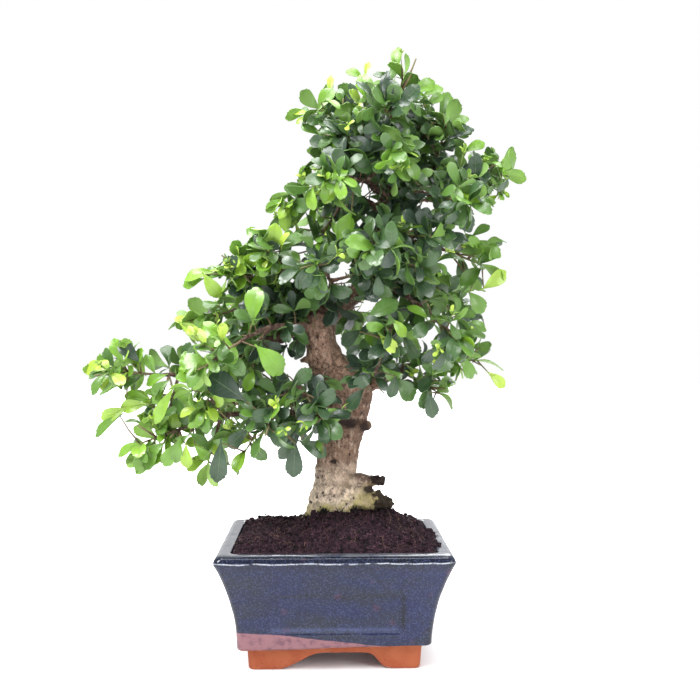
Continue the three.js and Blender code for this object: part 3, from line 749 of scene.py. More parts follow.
def publish(
    name: str, bm: BMesh, materials: Sequence[Material], slot: Slot, *nodes: str, sharp: float = 0.0
) -> Object:
    """Makes a finished mesh a piece that rides on the part and stands for its nodes.

    Args:
        name: The piece's name.
        bm: The mesh, in millimetres from the middle of the tray's footprint. It is freed.
        materials: The materials that its faces number.
        slot: The record's slot for the piece. It is not used.
        *nodes: The CAD nodes that the piece stands for.
        sharp: The angle in degrees past which an edge is shown sharp, or 0 to leave them as they are.

    Returns:
        The piece.
    """
    bmesh.ops.transform(bm, matrix=TO_FRAME, verts=bm.verts)
    if sharp:
        for edge in bm.edges:
            edge.smooth = edge.calc_face_angle(0.0) < math.radians(sharp)
    mesh = to_mesh(name, bm)
    for material in materials:
        mesh.materials.append(material)
    piece = link(name, mesh)
    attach(piece, "root")
    if nodes:
        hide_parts(*nodes)
    mesh.calc_loop_triangles()
    log.info("%s: %d triangles", name, len(mesh.loop_triangles))
    return piece


def fresh(bm: BMesh) -> BMesh:
    """Returns a copy of a mesh that has no gaps in its list of corners, so that new ones come last.

    Args:
        bm: The mesh. It is freed.

    Returns:
        The copy.
    """
    mesh = to_mesh("copy", bm)
    copy = bmesh.new()
    copy.from_mesh(mesh)
    bpy.data.meshes.remove(mesh)
    return copy


def append(bm: BMesh, mesh: Mesh) -> list[BMVert]:
    """Adds a mesh to one that has no gaps in its list of corners.

    Args:
        bm: The mesh to add to.
        mesh: The mesh to add.

    Returns:
        The new corners, in the added mesh's order.
    """
    first = len(bm.verts)
    bm.from_mesh(mesh)
    bm.verts.ensure_lookup_table()
    return [bm.verts[number] for number in range(first, len(bm.verts))]


def sew(bm: BMesh) -> None:
    """Joins a rolled-up grid along its seam, closes its ends, turns its faces outward and smooths them."""
    bmesh.ops.remove_doubles(bm, verts=bm.verts, dist=WELD)
    bmesh.ops.holes_fill(bm, edges=[edge for edge in bm.edges if edge.is_boundary], sides=0)
    bmesh.ops.recalc_face_normals(bm, faces=bm.faces)
    for face in bm.faces:
        face.smooth = True


def frames_along(centres: Sequence[Vector]) -> list[tuple[Vector, Vector]]:
    """Returns two directions square to a line at each of its points, turning as little as they can.

    Args:
        centres: The line's points.

    Returns:
        A pair of directions for each point, which make a right-handed set with the way along the line.
    """
    frames = []
    across = None
    for row, centre in enumerate(centres):
        before = centres[max(row - 1, 0)]
        after = centres[min(row + 1, len(centres) - 1)]
        way = (after - before).normalized()
        if across is None:
            across = way.orthogonal()
        across = (across - across.dot(way) * way).normalized()
        frames.append((across, way.cross(across)))
    return frames


@cache
def tube_pattern(steps: int, sides: int, material: int) -> tuple[Mesh, list[tuple[int, float]]]:
    """Returns a straight closed tube, to be bent along a line.

    Args:
        steps: How many steps it has along its length.
        sides: How many sides it has.
        material: The number of its material.

    Returns:
        The tube's mesh, and the row and the angle of each of its vertices.
    """
    bm = bmesh.new()
    for vert in bmesh.ops.create_grid(bm, x_segments=sides, y_segments=steps, size=0.5)["verts"]:
        row = round((vert.co.y + 0.5) * steps)
        angle = 2 * math.pi * (vert.co.x + 0.5)
        vert.co = (math.cos(angle), math.sin(angle), row)
    sew(bm)
    for face in bm.faces:
        face.material_index = material
    spots = [(round(vert.co.z), math.atan2(vert.co.y, vert.co.x) % (2 * math.pi)) for vert in bm.verts]
    return to_mesh("tube_pattern", bm), spots


def tube(
    bm: BMesh,
    centres: Sequence[Vector],
    radius: Callable[[int, float], float],
    sides: int,
    material: int = 0,
) -> list[BMVert]:
    """Adds a closed tube that follows a line.

    Args:
        bm: The mesh to add to.
        centres: The line's points.
        radius: The radius at a point's number and an angle round it.
        sides: How many sides the tube has.
        material: The number of its material.

    Returns:
        The tube's vertices.
    """
    mesh, spots = tube_pattern(len(centres) - 1, sides, material)
    frames = frames_along(centres)
    made = append(bm, mesh)
    for vert, (row, angle) in zip(made, spots):
        across, over = frames[row]
        vert.co = centres[row] + radius(row, angle) * (math.cos(angle) * across + math.sin(angle) * over)
    return made


def catmull(rows: Sequence[Sequence[float]], steps: int) -> list[list[float]]:
    """Returns points of a smooth line through rows of numbers.

    Args:
        rows: The rows, of which each number is carried smoothly from one to the next.
        steps: How many steps the line has from one row to the next.

    Returns:
        The line's rows.
    """
    line = []
    for index in range(len(rows) - 1):
        near = [rows[max(0, min(len(rows) - 1, index + shift))] for shift in (-1, 0, 1, 2)]
        for step in range(steps):
            t = step / steps
            line.append([
                0.5
                * (2 * b + (c - a) * t + (2 * a - 5 * b + 4 * c - d) * t**2 + (3 * b - a - 3 * c + d) * t**3)
                for a, b, c, d in zip(*near)
            ])
    line.append(list(rows[-1]))
    return line


@dataclass(frozen=True)
class Arch:
    """A flat-topped arch between two feet, seen from the front or the side."""

    half_width: float
    half_top: float
    offset: float
    height: float = 14.3
    toe: float = 1.5

    def side_height(self, outer: float, inner: float, across: float) -> float:
        """Returns the height of one of the arch's two curved sides at a place across it."""
        lean = (self.half_width - self.half_top) / 2 * (1 if inner > outer else -1)
        xs = (outer, outer + lean, inner - lean, inner)
        zs = (0.0, self.toe, self.height, self.height)
        low, high = 0.0, 1.0
        for _ in range(16):
            t = (low + high) / 2
            ways = curve_shares(t)
            is_before = abs(sum(way * x for way, x in zip(ways, xs)) - outer) < abs(across - outer)
            low, high = (t, high) if is_before else (low, t)
        return sum(way * z for way, z in zip(ways, zs))

    def at(self, across: float) -> float:
        """Returns the arch's height at a place across it."""
        if abs(across) >= self.half_width:
            return 0.0
        left, right = self.offset - self.half_top, self.offset + self.half_top
        if across < left:
            return self.side_height(-self.half_width, left, across)
        if across > right:
            return self.side_height(self.half_width, right, across)
        return self.height


@dataclass(frozen=True)
class Ring:
    """The places round one level of the tray: four sides, each with close places at a panel's edge."""

    panel_half: tuple[float, float]
    corner_steps: int = 10
    pitch: float = 4.0
    close: tuple[float, ...] = (-2.4, -1.3, -0.7, -0.2, 0.3, 0.8, 1.4, 2.5)
    panel_share: float = 0.86

    def run(self, panel: float) -> list[float]:
        """Returns the places along one side, evenly on its panel and close at the panel's edges."""
        inner = panel + self.close[0] - 1
        steps = round(inner / self.pitch)
        half = [inner * step / steps for step in range(steps + 1)] + [panel + shift for shift in self.close]
        return [-place for place in reversed(half[1:])] + half

    def places(self) -> list[tuple[int, float, float]]:
        """Returns the ring's places.

        Returns:
            For each place its side or corner's number, then its distance along a side or its turn round a
            corner. Even numbers are sides, from the right one on, and odd numbers are corners.
        """
        made = []
        for quarter in range(4):
            panel = self.panel_half[1 - quarter % 2]
            made += [(2 * quarter, place, panel) for place in self.run(panel)]
            made += [
                (2 * quarter + 1, math.pi / 2 * (quarter + step / self.corner_steps), panel)
                for step in range(self.corner_steps + 1)
            ]
        return made

    def spot(self, place: tuple[int, float, float], half: tuple[float, float], corner: float) -> Vector:
        """Returns where a place of the ring lies on a level.

        Args:
            place: One of the ring's places.
            half: The level's half width and half depth.
            corner: The radius of the level's corners.

        Returns:
            The place, at height 0.
        """
        number, run, panel = place
        straight = (half[0] - corner, half[1] - corner)
        if number % 2:
            signs = ((1, 1), (-1, 1), (-1, -1), (1, -1))[number // 2]
            x = signs[0] * straight[0] + corner * math.cos(run)
            return Vector((x, signs[1] * straight[1] + corner * math.sin(run), 0))
        side = number // 2
        reach = straight[1 - side % 2]
        along = run * min(1.0, self.panel_share * reach / (panel + self.close[-1]))
        return (
            Vector((half[0], along, 0)),
            Vector((-along, half[1], 0)),
            Vector((-half[0], -along, 0)),
            Vector((along, -half[1], 0)),
        )[side]


def lathe_ring(bm: BMesh, ring: Ring, levels: Sequence[Level], corner: float) -> None:
    """Adds a closed body whose levels all have the shape of a rounded rectangle.

    Args:
        bm: An empty mesh.
        ring: The places round each level.
        levels: For each level a rule that lifts its places off height 0, and its half width and depth.
        corner: The largest radius of a corner.
    """
    places = ring.places()
    steps = len(levels) - 1
    columns = len(places)
    for vert in bmesh.ops.create_grid(bm, x_segments=columns, y_segments=steps, size=0.5)["verts"]:
        row = round((vert.co.y + 0.5) * steps)
        column = round((vert.co.x + 0.5) * columns) % columns
        lift, half = levels[row]
        vert.co = lift(ring.spot(places[column], half, min(corner, half[1] / 3)))
    sew(bm)


@dataclass
class Tray:
    """The glazed tray: a flared body with a rolled lip on a band that four arches cut into feet."""

    finish: TrayGlaze
    width: float = 201.6
    depth: float = 156.6
    height: float = 103.0
    corner: float = 5.5
    wall_foot_half: float = 82.6
    wall_foot: float = 22.0
    wall: float = 8.5
    flare_power: float = 1.9
    lip: float = 7.0
    rim: float = 14.0
    floor: float = 30.0
    cove: float = 4.0
    panel_depth: float = 1.1
    panel_z: tuple[float, float] = (33.0, 67.0)
    panel_margin: float = 25.0
    panel_edge: float = 3.0
    band_bottom: float = 73.5
    band_top: float = 75.0
    band_wall: float = 12.0
    front_arch: Arch = Arch(49.5, 16.0, 8.0)
    side_arch: Arch = Arch(32.0, 11.0, 0.0)
    sag: float = 3.2
    drain_radius: float = 7.0
    drain_offset: float = 42.0

    def wall_half(self, z: float) -> float:
        """Returns the outer half width of the wall at a height."""
        rise = max(0.0, (z - self.wall_foot) / (self.height - self.lip - self.wall_foot))
        return self.wall_foot_half + (self.width / 2 - self.wall_foot_half) * rise**self.flare_power

    def inner_half(self, z: float) -> float:
        """Returns the inner half width of the wall at a height."""
        if z > 80:
            return mix(self.width / 2 - self.rim, self.wall_half(80) - self.wall, (self.height - z) / 23)
        cove = self.cove * (1 - smooth_step(z, self.floor, self.floor + 9))
        return self.wall_half(z) - self.wall - cove

    def halves(self, half: float) -> tuple[float, float]:
        """Returns a half width with the half depth that goes with it."""
        return half, half - (self.width - self.depth) / 2

    def ring(self) -> Ring:
        """Returns the places round a level of the tray."""
        reach = self.wall_foot_half - self.panel_margin
        return Ring((reach, reach - (self.width - self.depth) / 2))

    def profile(self) -> list[tuple[float, float, float]]:
        """Returns the tray's section, from the middle of its underside to the middle of its floor.

        Returns:
            The half width, the height and the share of the arches' height that a level takes, in turn.
        """
        inner = self.band_bottom - self.band_wall
        top = self.wall_foot
        levels = [(inner - 3.5, top, 0.0), (inner - 0.6, top - 0.2, 0.0), (inner, top - 1, 0.0)]
        levels += [(inner, mix(top, 0, share), share) for share in (0.3, 0.6, 0.85)]
        levels += [(inner + 0.3, 0.4, 0.96), (inner + 1.2, 0.0, 1.0), (inner + 5, 0.0, 1.0)]
        levels += [(self.band_bottom - 4, 0.0, 1.0), (self.band_bottom - 1.6, 0.0, 1.0)]
        levels += [(self.band_bottom - 0.5, 0.3, 0.97), (self.band_bottom, 1.4, 0.92)]
        for share in (0.75, 0.5, 0.25, 0.08):
            levels.append((mix(self.band_top, self.band_bottom, share), mix(top, 0, share), share))
        levels += [(self.band_top + 0.3, top - 0.5, 0.0), (self.band_top + 1.2, top - 0.1, 0.0)]
        levels += [(self.wall_foot_half - 3, top, 0.0), (self.wall_foot_half - 1, top + 0.3, 0.0)]
        levels.append((self.wall_foot_half - 0.2, top + 1.2, 0.0))
        heights = [24.5, 27, 29.5, 31.2, 32, 32.6, 33.2, 33.9, 35, 38, 42, 46, 50, 54, 58, 62, 64.8, 66, 66.7]
        heights += [67.3, 68, 69, 71, 75, 79, 83, 86.5, 89.5, 92, 94]
        levels += [(self.wall_half(z), z, 0.0) for z in heights]
        for degrees in range(0, 91, 9):
            turn = math.radians(degrees)
            reach = self.width / 2 - self.lip * (1 - math.cos(turn))
            levels.append((reach, self.height - self.lip * (1 - math.sin(turn)), 0.0))
        edge = self.width / 2 - self.rim
        for reach, drop in ((4, 0.0), (2, 0.05), (0.8, 0.35)):
            levels.append((edge + reach, self.height - drop, 0.0))
        levels.append((edge, self.height - 1.4, 0.0))
        levels += [(self.inner_half(z), z, 0.0) for z in (96, 90, 80, 68, 56, 46, 39, 35, 32, self.floor)]
        levels.append((self.inner_half(self.floor) - 10, self.floor, 0.0))
        return levels

    def dent(self, x: float, y: float, z: float) -> float:
        """Returns how far the panel sets the wall back at a place."""
        low, high = self.panel_z
        edge = self.panel_edge
        tall = smooth_step(z, low - edge, low + edge) * (1 - smooth_step(z, high - edge, high + edge))
        is_front = abs(y) > self.halves(self.wall_half(z))[1] - 3
        reach = self.ring().panel_half[0 if is_front else 1]
        wide = 1 - smooth_step(abs(x if is_front else y), reach - edge, reach + edge)
        return self.panel_depth * tall * wide

    def build(self) -> Object:
        """Returns the tray's piece, which stands for the node pot."""
        bm = bmesh.new()
        levels = []
        for half, z, share in self.profile():
            def lift(spot: Vector, z: float = z, share: float = share) -> Vector:
                """Returns a place of the level at its height."""
                arches = max(self.front_arch.at(spot.x), self.side_arch.at(spot.y)) if share else 0.0
                return Vector((spot.x, spot.y, z + share * arches))
            levels.append((lift, self.halves(half)))
        lathe_ring(bm, self.ring(), levels, self.corner)
        self.roughen(bm)
        self.drill(bm)
        return publish("glazed_tray", bm, [self.finish.make()], Slot.GLAZE, "pot", sharp=40)

    def roughen(self, bm: BMesh) -> None:
        """Sets back the panels, and leaves the body as uneven as hand-finished clay."""
        bm.normal_update()
        moves = []
        for vert in bm.verts:
            x, y, z = vert.co
            across, back = self.halves(self.inner_half(z) + 1)
            is_inside = z > self.floor - 1 and abs(x) < across and abs(y) < back
            if z > self.wall_foot - 0.05 and not is_inside:
                uneven = 0.3 * ripple(vert.co, 34, 2) + 0.1 * ripple(vert.co, 11, 2, 5.0)
                away = max(abs(x) - self.band_top, abs(y) - self.halves(self.band_top)[1]) - 1.2
                sag = self.sag * smooth_step(away, 0.0, 3.0) * (1 - smooth_step(z, 23.5, 34.0))
                sag *= smooth_step(-x, -60, 80)
                moves.append((vert, vert.normal * (uneven - self.dent(x, y, z)) - sag * UP))
            elif z < self.wall_foot - 2:
                moves.append((vert, vert.normal * 0.25 * ripple(vert.co, 16, 2, 9.0)))
        for vert, move in moves:
            vert.co += move
            vert.co.z = max(0.0, vert.co.z)

    def drill(self, bm: BMesh) -> None:
        """Cuts the two drain holes through the floor."""
        skins = [(face.calc_center_median().z, face) for face in bm.faces if len(face.verts) > 8]
        rims = {-self.drain_offset: [], self.drain_offset: []}
        for z, face in sorted(skins, key=lambda skin: skin[0]):
            outer = list(face.edges)
            bm.faces.remove(face)
            holes = []
            for x, edges in rims.items():
                place = Matrix.Translation((x, 0, z))
                circle = bmesh.ops.create_circle(bm, segments=24, radius=self.drain_radius, matrix=place)
                hole = list(dict.fromkeys(edge for vert in circle["verts"] for edge in vert.link_edges))
                edges += hole
                holes += hole
            bmesh.ops.triangle_fill(bm, edges=outer + holes, use_beauty=True, use_dissolve=False)
        for edges in rims.values():
            for face in bmesh.ops.bridge_loops(bm, edges=edges)["faces"]:
                face.smooth = True
        bmesh.ops.recalc_face_normals(bm, faces=bm.faces)


@dataclass(frozen=True)
class Ground:
    """The shape of the soil's top, which the soil, its fibres and the moss share."""

    edge_half: float = 85.7
    edge_z: float = 102.4
    inset: float = 22.5
    plateau: float = 7.0
    bank: float = 14.0
    middle: tuple[float, float] = (18.0, -10.0)
    mound_reach: tuple[float, float] = (24.0, 72.0)
    mound_height: float = 17.5

    def at(self, x: float, y: float) -> float:
        """Returns the height of the soil's top at a place."""
        away = math.hypot(x - self.middle[0], y - self.middle[1])
        lump = math.sin(0.31 * x + 1.1) * math.cos(0.27 * y - 0.4) + math.sin(0.17 * x - 0.23 * y)
        mound = (self.mound_height + 1.1 * lump) * (1 - smooth_step(away, *self.mound_reach))
        rough = 2.2 * ripple(Vector((x, y, 0)), 9, 3) + 2.6 * ripple(Vector((x, y, 0)), 4.2, 3, 4.0)
        edge = min(self.edge_half - abs(x), self.edge_half - self.inset - abs(y))
        bank = self.plateau * smooth_step(edge, 0.0, self.bank)
        return self.edge_z + bank + mound + rough * smooth_step(edge, -2.0, 6.0)


@dataclass
class Soil:
    """The peat: a filling with a mound, crumbs, and a litter of pale root fibres."""

    peat: Peat
    straw: TwoTone
    ground: Ground
    tray: Tray
    foot: float = 31.8
    rings: int = 46
    crumbs: int = 2600
    fibres: int = 1150
    spill: float = 0.05
    spill_x: tuple[float, float] = (82.0, 91.0)
    seed: int = 71

    def build(self) -> Object:
        """Returns the soil's piece, which stands for the node soil."""
        bm = bmesh.new()
        self.add_body(bm)
        bm = fresh(bm)
        dice = Dice(self.seed)
        crumb = self.crumb()
        for _ in range(self.crumbs):
            self.add_crumb(bm, dice, crumb)
        bpy.data.meshes.remove(crumb)
        for number in range(self.fibres):
            self.add_fibre(bm, dice, number)
        brown = replace(self.straw, name="peat_fibre", base=linear(24, 15, 21), over=linear(86, 60, 68))
        return publish("peat", bm, [self.peat.make(), self.straw.make(), brown.make()], Slot.PEAT, "soil")

    def add_body(self, bm: BMesh) -> None:
        """Adds the filling, from the middle of its underside to the middle of its top."""
        ground = self.ground
        levels = []
        inner = self.tray.inner_half(self.foot)
        walls = [(inner - 40, self.foot), (inner - 1, self.foot)]
        walls += [(self.tray.inner_half(z) - 0.3, z) for z in (36, 46, 60, 74, 90, 100)]
        for half, z in walls:
            levels.append((lambda spot, z=z: Vector((spot.x, spot.y, z)), self.tray.halves(half)))
        for ring in range(self.rings):
            share = (1 - ring / self.rings) ** 1.15
            halves = tuple(half * share for half in self.tray.halves(ground.edge_half))
            levels.append((lambda spot: Vector((spot.x, spot.y, ground.at(spot.x, spot.y))), halves))
        lathe_ring(bm, Ring((58.0, 35.0), corner_steps=5, pitch=2.6, close=(-1.0, 1.5)), levels, 8.0)

    def scatter(self, dice: Dice) -> tuple[float, float]:
        """Returns a place on the soil's top."""
        reach = self.ground.edge_half - 2
        if dice.next() < self.spill:
            return dice.between(*self.spill_x), dice.between(-45, 25)
        return dice.between(-reach, reach), dice.between(self.ground.inset - reach, reach - self.ground.inset)

    @staticmethod
    def crumb() -> Mesh:
        """Returns a round crumb, to be squashed and roughened."""
        bm = bmesh.new()
        bmesh.ops.create_icosphere(bm, subdivisions=1, radius=1)
        return to_mesh("crumb", bm)

    def add_crumb(self, bm: BMesh, dice: Dice, crumb: Mesh) -> None:
        """Adds one crumb of peat."""
        x, y = self.scatter(dice)
        size = dice.between(0.6, 2.5) * dice.between(0.5, 1.0)
        place = Matrix.Translation((x, y, max(self.ground.at(x, y), self.ground.edge_z + 0.5) + 0.2 * size))
        turn = Matrix.Rotation(dice.between(0, 6.28), 4, "X") @ Matrix.Rotation(dice.between(0, 6.28), 4, "Z")
        shape = Matrix.Diagonal((size * dice.between(0.7, 1.5), size, size * dice.between(0.6, 1.0), 1))
        form = place @ turn @ shape
        for vert in append(bm, crumb):
            spot = form @ vert.co
            vert.co = spot + 0.3 * size * noise.noise_vector(spot)

    def add_fibre(self, bm: BMesh, dice: Dice, number: int) -> None:
        """Adds one fibre, which lies on the peat in a loose curl.

        Args:
            bm: The mesh to add to.
            dice: The draws.
            number: The fibre's number, which makes a few of them long.
        """
        x, y = self.scatter(dice)
        heading = dice.between(0, 2 * math.pi)
        curl = dice.between(-0.5, 0.5)
        is_straw = number % 11 == 0
        steps = 8 if is_straw else 3
        stride = dice.between(1.6, 2.6) if is_straw else dice.between(1.0, 2.0)
        lift = dice.between(0.3, 1.4) if is_straw else dice.between(0.5, 2.4)
        reach = self.ground.edge_half - self.ground.inset
        centres = []
        for step in range(steps + 1):
            y = max(-reach, min(reach, y))
            hop = lift * math.sin(math.pi * step / steps) + 0.15
            centres.append(Vector((x, y, max(self.ground.at(x, y), self.ground.edge_z + 0.4) + hop)))
            x += stride * math.cos(heading)
            y += stride * math.sin(heading)
            heading += curl + dice.between(-0.35, 0.35)
        thick = dice.between(0.12, 0.22) if is_straw else dice.between(0.2, 0.42)
        tube(bm, centres, lambda row, angle: thick * (1 - 0.6 * row / steps), 3, 1 if is_straw else 2)


@dataclass
class MossRing:
    """The dark moss on the soil at the foot of the trunk."""

    finish: TwoTone
    ground: Ground
    blades: int = 2000
    middle: tuple[float, float] = (4.0, 8.0)
    inner: float = 28.5
    outer: float = 37.0
    tallest: float = 7.5
    seed: int = 17

    def build(self) -> Object:
        """Returns the moss's piece."""
        bm = bmesh.new()
        dice = Dice(self.seed)
        for _ in range(self.blades):
            angle = dice.between(0, 2 * math.pi)
            away = mix(self.inner, self.outer, dice.next() ** 1.4)
            x = self.middle[0] + away * math.cos(angle)
            y = self.middle[1] + away * math.sin(angle)
            patch = ripple(Vector((x, y, 0)), 12, 2, 3.0)
            if patch < -0.16:
                continue
            fade = 1.1 - (away - self.inner) / (self.outer - self.inner)
            height = self.tallest * dice.between(0.4, 1.0) * fade
            root = Vector((x, y, self.ground.at(x, y) - 0.5))
            lean = Vector((dice.between(-0.6, 0.6), dice.between(-0.6, 0.6), 1))
            centres = [root, root + 0.5 * height * lean, root + height * (lean + Vector((0, 0, -0.1)))]
            thick = dice.between(0.2, 0.4)
            tube(bm, centres, lambda row, angle: thick * (1 - 0.35 * row), 3)
        return publish("moss", bm, [self.finish.make()], Slot.PEAT)


@dataclass(frozen=True)
class Branch:
    """A woody branch of the part, with the seats of its sprays."""

    name: str
    slot: Slot
    thick: float
    sides: tuple[tuple[float, float], ...]
    path: tuple[Triple, ...]

    def point(self, t: float) -> Vector:
        """Returns the place at a share of the branch's curve."""
        return sum((way * Vector(place) for way, place in zip(curve_shares(t), self.path)), Vector())

    def tangent(self, t: float) -> Vector:
        """Returns the way along the curve at a share of it."""
        return (self.point(min(1.0, t + 1e-4)) - self.point(max(0.0, t - 1e-4))).normalized()


BRANCHES = (
    Branch("crown", Slot.BRIGHT, 3, ((0.15, 200), (0.6, 330)),
           ((53, 2, 440), (54, 1, 455), (54, 1, 468), (56, -1, 481))),
    Branch("crown_left", Slot.BRIGHT, 3.4, ((0.7, 90),),
           ((52, 3, 438), (44, 2, 452), (32, -4, 462), (18, -8, 469))),
    Branch("crown_right", Slot.MID, 3.4, ((0.6, 300),),
           ((52, 3, 430), (60, 4, 440), (68, 6, 444), (75, 6, 454))),
    Branch("crown_front", Slot.DARK, 3.2, ((0.65, 20),),
           ((51, 3, 436), (50, -12, 450), (48, -30, 458), (46, -46, 462))),
    Branch("crown_back", Slot.MID, 3.2, ((0.6, 90),),
           ((52, 3, 444), (54, 18, 458), (57, 34, 466), (60, 48, 468))),
    Branch("upper_right", Slot.MID, 3.8, ((0.6, 290),),
           ((50, 4, 415), (70, 2, 424), (92, -2, 430), (114, -4, 430))),
    Branch("upper_right_front", Slot.DARK, 3.6, ((0.6, 200),),
           ((48, 5, 400), (60, -14, 408), (76, -38, 408), (88, -56, 402))),
    Branch("upper_right_back", Slot.DARK, 3.6, (),
           ((48, 5, 405), (62, 24, 412), (78, 46, 416), (92, 62, 416))),
    Branch("upper_left", Slot.BRIGHT, 3.8, ((0.7, 80),),
           ((47, 5, 396), (30, 2, 408), (12, -4, 412), (-6, -6, 408))),
    Branch("upper_left_front", Slot.MID, 3.6, ((0.65, 200),),
           ((48, 5, 404), (40, -18, 416), (26, -42, 420), (14, -60, 416))),
    Branch("upper_left_back", Slot.MID, 3.6, (), ((46, 6, 392), (38, 26, 404), (24, 48, 410), (12, 64, 410))),
    Branch("mid_right", Slot.MID, 4.2, ((0.6, 80),),
           ((43, 7, 372), (60, 6, 374), (80, 2, 370), (100, 0, 362))),
    Branch("mid_front", Slot.DARK, 4, ((0.65, 180),),
           ((42, 8, 364), (42, -18, 374), (40, -46, 372), (36, -70, 364))),
    Branch("mid_back", Slot.DARK, 4, ((0.6, 180),),
           ((43, 8, 376), (44, 34, 384), (48, 62, 382), (52, 86, 374))),
    Branch("inner_front", Slot.DARK, 3.8, ((0.6, 180),),
           ((2, 6, 312), (0, -16, 326), (-4, -40, 336), (-8, -60, 338))),
    Branch("mid_left", Slot.BRIGHT, 4.4, ((0.5, 90), (0.8, 200)),
           ((2, 8, 313), (-14, 4, 330), (-34, -2, 342), (-56, -6, 341))),
    Branch("left_high", Slot.BRIGHT, 4.6, ((0.65, 250),),
           ((-15, 2, 302), (-38, 4, 310), (-62, -4, 314), (-86, -8, 308))),
    Branch("left_long", Slot.BRIGHT, 6.4, ((0.4, 50), (0.62, 130), (0.85, 80)),
           ((-16, -2, 294), (-62, -6, 286), (-110, -8, 246), (-160, -10, 250))),
    Branch("left_front", Slot.MID, 4.4, ((0.6, 40),),
           ((-15, -6, 290), (-36, -26, 298), (-58, -48, 294), (-78, -62, 280))),
    Branch("left_back", Slot.MID, 4.4, ((0.6, 120),),
           ((-13, 4, 296), (-34, 26, 308), (-54, 46, 312), (-72, 62, 310))),
    Branch("inner_back", Slot.DARK, 4.2, (), ((14, 14, 318), (16, 36, 322), (18, 58, 318), (18, 78, 310))),
    Branch("low_right_front", Slot.DARK, 4.4, ((0.6, 300),),
           ((33, 10, 330), (50, -8, 330), (68, -32, 318), (82, -50, 302))),
    Branch("low_right_back", Slot.DARK, 4.4, (),
           ((30, 12, 328), (50, 26, 334), (72, 42, 332), (94, 54, 324))),
    Branch("low_right", Slot.MID, 7, ((0.55, 50),),
           ((22, 8, 234), (48, 14, 242), (66, 12, 262), (94, 6, 262))),
    Branch("centre_front", Slot.DARK, 3.8, (),
           ((16, -8, 240), (26, -24, 244), (34, -36, 250), (38, -44, 262))),
    Branch("lower_left", Slot.BRIGHT, 5.6, ((0.45, 130), (0.75, 70)),
           ((-4, 4, 198), (-36, -4, 226), (-90, -8, 218), (-138, -12, 201))),
    Branch("lower_left_front", Slot.DARK, 4.2, ((0.6, 150),),
           ((-12, -8, 252), (-24, -28, 252), (-36, -42, 244), (-44, -52, 230))),
    Branch("lower_left_back", Slot.MID, 4.6, (),
           ((-6, 10, 204), (-32, 26, 224), (-60, 42, 226), (-86, 52, 220))),
)

# Each row of a limb is its X, Y, Z and radius.
TRUNK = (
    (4, 8, 72, 20), (4, 8, 100, 28), (4, 8, 121, 31), (1.5, 8, 134.6, 26.5), (1.2, 8, 146, 21),
    (1.2, 8, 158, 17.6), (2.5, 8, 171, 18.4), (4, 7, 183, 19.2), (8, 6, 197, 18.6), (11.6, 6, 212, 18),
    (15, 6, 227, 19), (13, 4, 240, 19.5), (3, 2, 250, 17.5), (-6, 0, 260, 15.6), (-11.4, -1, 276, 14.3),
    (-13.7, -1, 291, 14.4), (-13, 0, 304, 13),
)
LEADER = (
    (-12, 0, 296, 11), (4, 9, 314, 10), (20, 12, 323, 8.5), (34.7, 10, 334, 7), (42, 8, 371, 6),
    (49, 4, 415, 4.6), (53, 2, 453, 3.4), (54, 0, 472, 2.6),
)


@dataclass(frozen=True)
class Stub:
    """A sawn or broken piece of wood that stands off the trunk."""

    foot: Triple
    end: Triple
    thick: float
    thin: float
    is_blunt: bool = True


STUBS = (
    Stub((14, -8, 156), (45, -12, 154), 5.5, 4.6, False),
    Stub((8, -10, 141), (51, -14, 134.5), 9, 7.0, False),
    Stub((16, -2, 201), (33, -6, 204), 6, 3.4),
    Stub((-14, -4, 266), (-31, -8, 262), 4, 2.2),
    Stub((-13, 0, 296), (-18, -3, 316), 9, 7),
    Stub((16, -10, 148), (34, -13, 146), 6.5, 3.2),
)
SAWN = STUBS[2]

# How far the rot reaches from the ends of the first two stubs.
ROTTEN = (11.0, 16.0)


@dataclass(frozen=True)
class Mark:
    """A knot, crack or swelling of the bark, or painted shade in a crease."""

    place: Triple
    reach: Triple
    rise: float
    dark: float

    def share(self, spot: Vector) -> float:
        """Returns how strongly the mark shows at a place, from 0 to 1."""
        away = math.hypot(*((a - b) / r for a, b, r in zip(spot, self.place, self.reach)))
        return 1 - smooth_step(away, 0.0, 1.0)


MARKS = (
    Mark((-15, -14, 284), (2.6, 8, 8), -2.2, 1.0),
    Mark((-8, -15, 279), (3.4, 6, 3.4), 1.2, 0.7),
    Mark((0, -14, 272), (3.2, 6, 3.0), 1.0, 0.8),
    Mark((-22, -8, 260), (7, 8, 12), 1.8, 0.7),
    Mark((14, -12, 250), (7, 6, 8), -1.4, 0.4),
    # A dark scar round the waist, with painted shade from the leaves above.
    Mark((11, -8, 207), (27, 20, 8), -2.4, 1.1),
    Mark((26, -8, 214), (7, 8, 6), -1.8, 0.9),
    Mark((3, -12, 213), (15, 14, 8), -0.8, 1.1),
    Mark((16, -12, 206), (15, 14, 10), -1.2, 1.2),
    Mark((27, -8, 202), (11, 14, 11), 0.4, 1.0),
    Mark((-1, -10, 171), (5.5, 8, 4.6), -3.6, 1.3),
    Mark((-1, -10, 172), (10, 8, 9), 2.0, 0.1),
    # Painted shade between the stubs, and in the creases under them.
    Mark((31, -14, 147.5), (10, 14, 6), -0.8, 1.4),
    Mark((17, -18, 142), (17, 9, 2.0), -1.2, 0.5),
    Mark((12, -14, 163), (18, 9, 2.2), -1.1, 0.25),
    Mark((-12, -14, 144), (9, 8, 7), 1.5, 0.1),
    Mark((6, -16, 138), (10, 8, 5), 1.6, 0.0),
    Mark((14, -12, 190), (5, 6, 9), 1.8, 0.0),
    Mark((50, -10, 412), (8, 8, 12), 1.8, 0.3),
    *(Mark(place, (2.2, 9.0, 3.4), -0.7, 1.25) for place in (
        (-15, 0, 156), (-10, -12, 144), (-16, -9, 140), (-22, -3, 134), (-13, -16, 131), (11, -17, 135),
        (17, -18, 140), (6, -11, 186), (14, -10, 178), (-6, -9, 192),
    )),
)


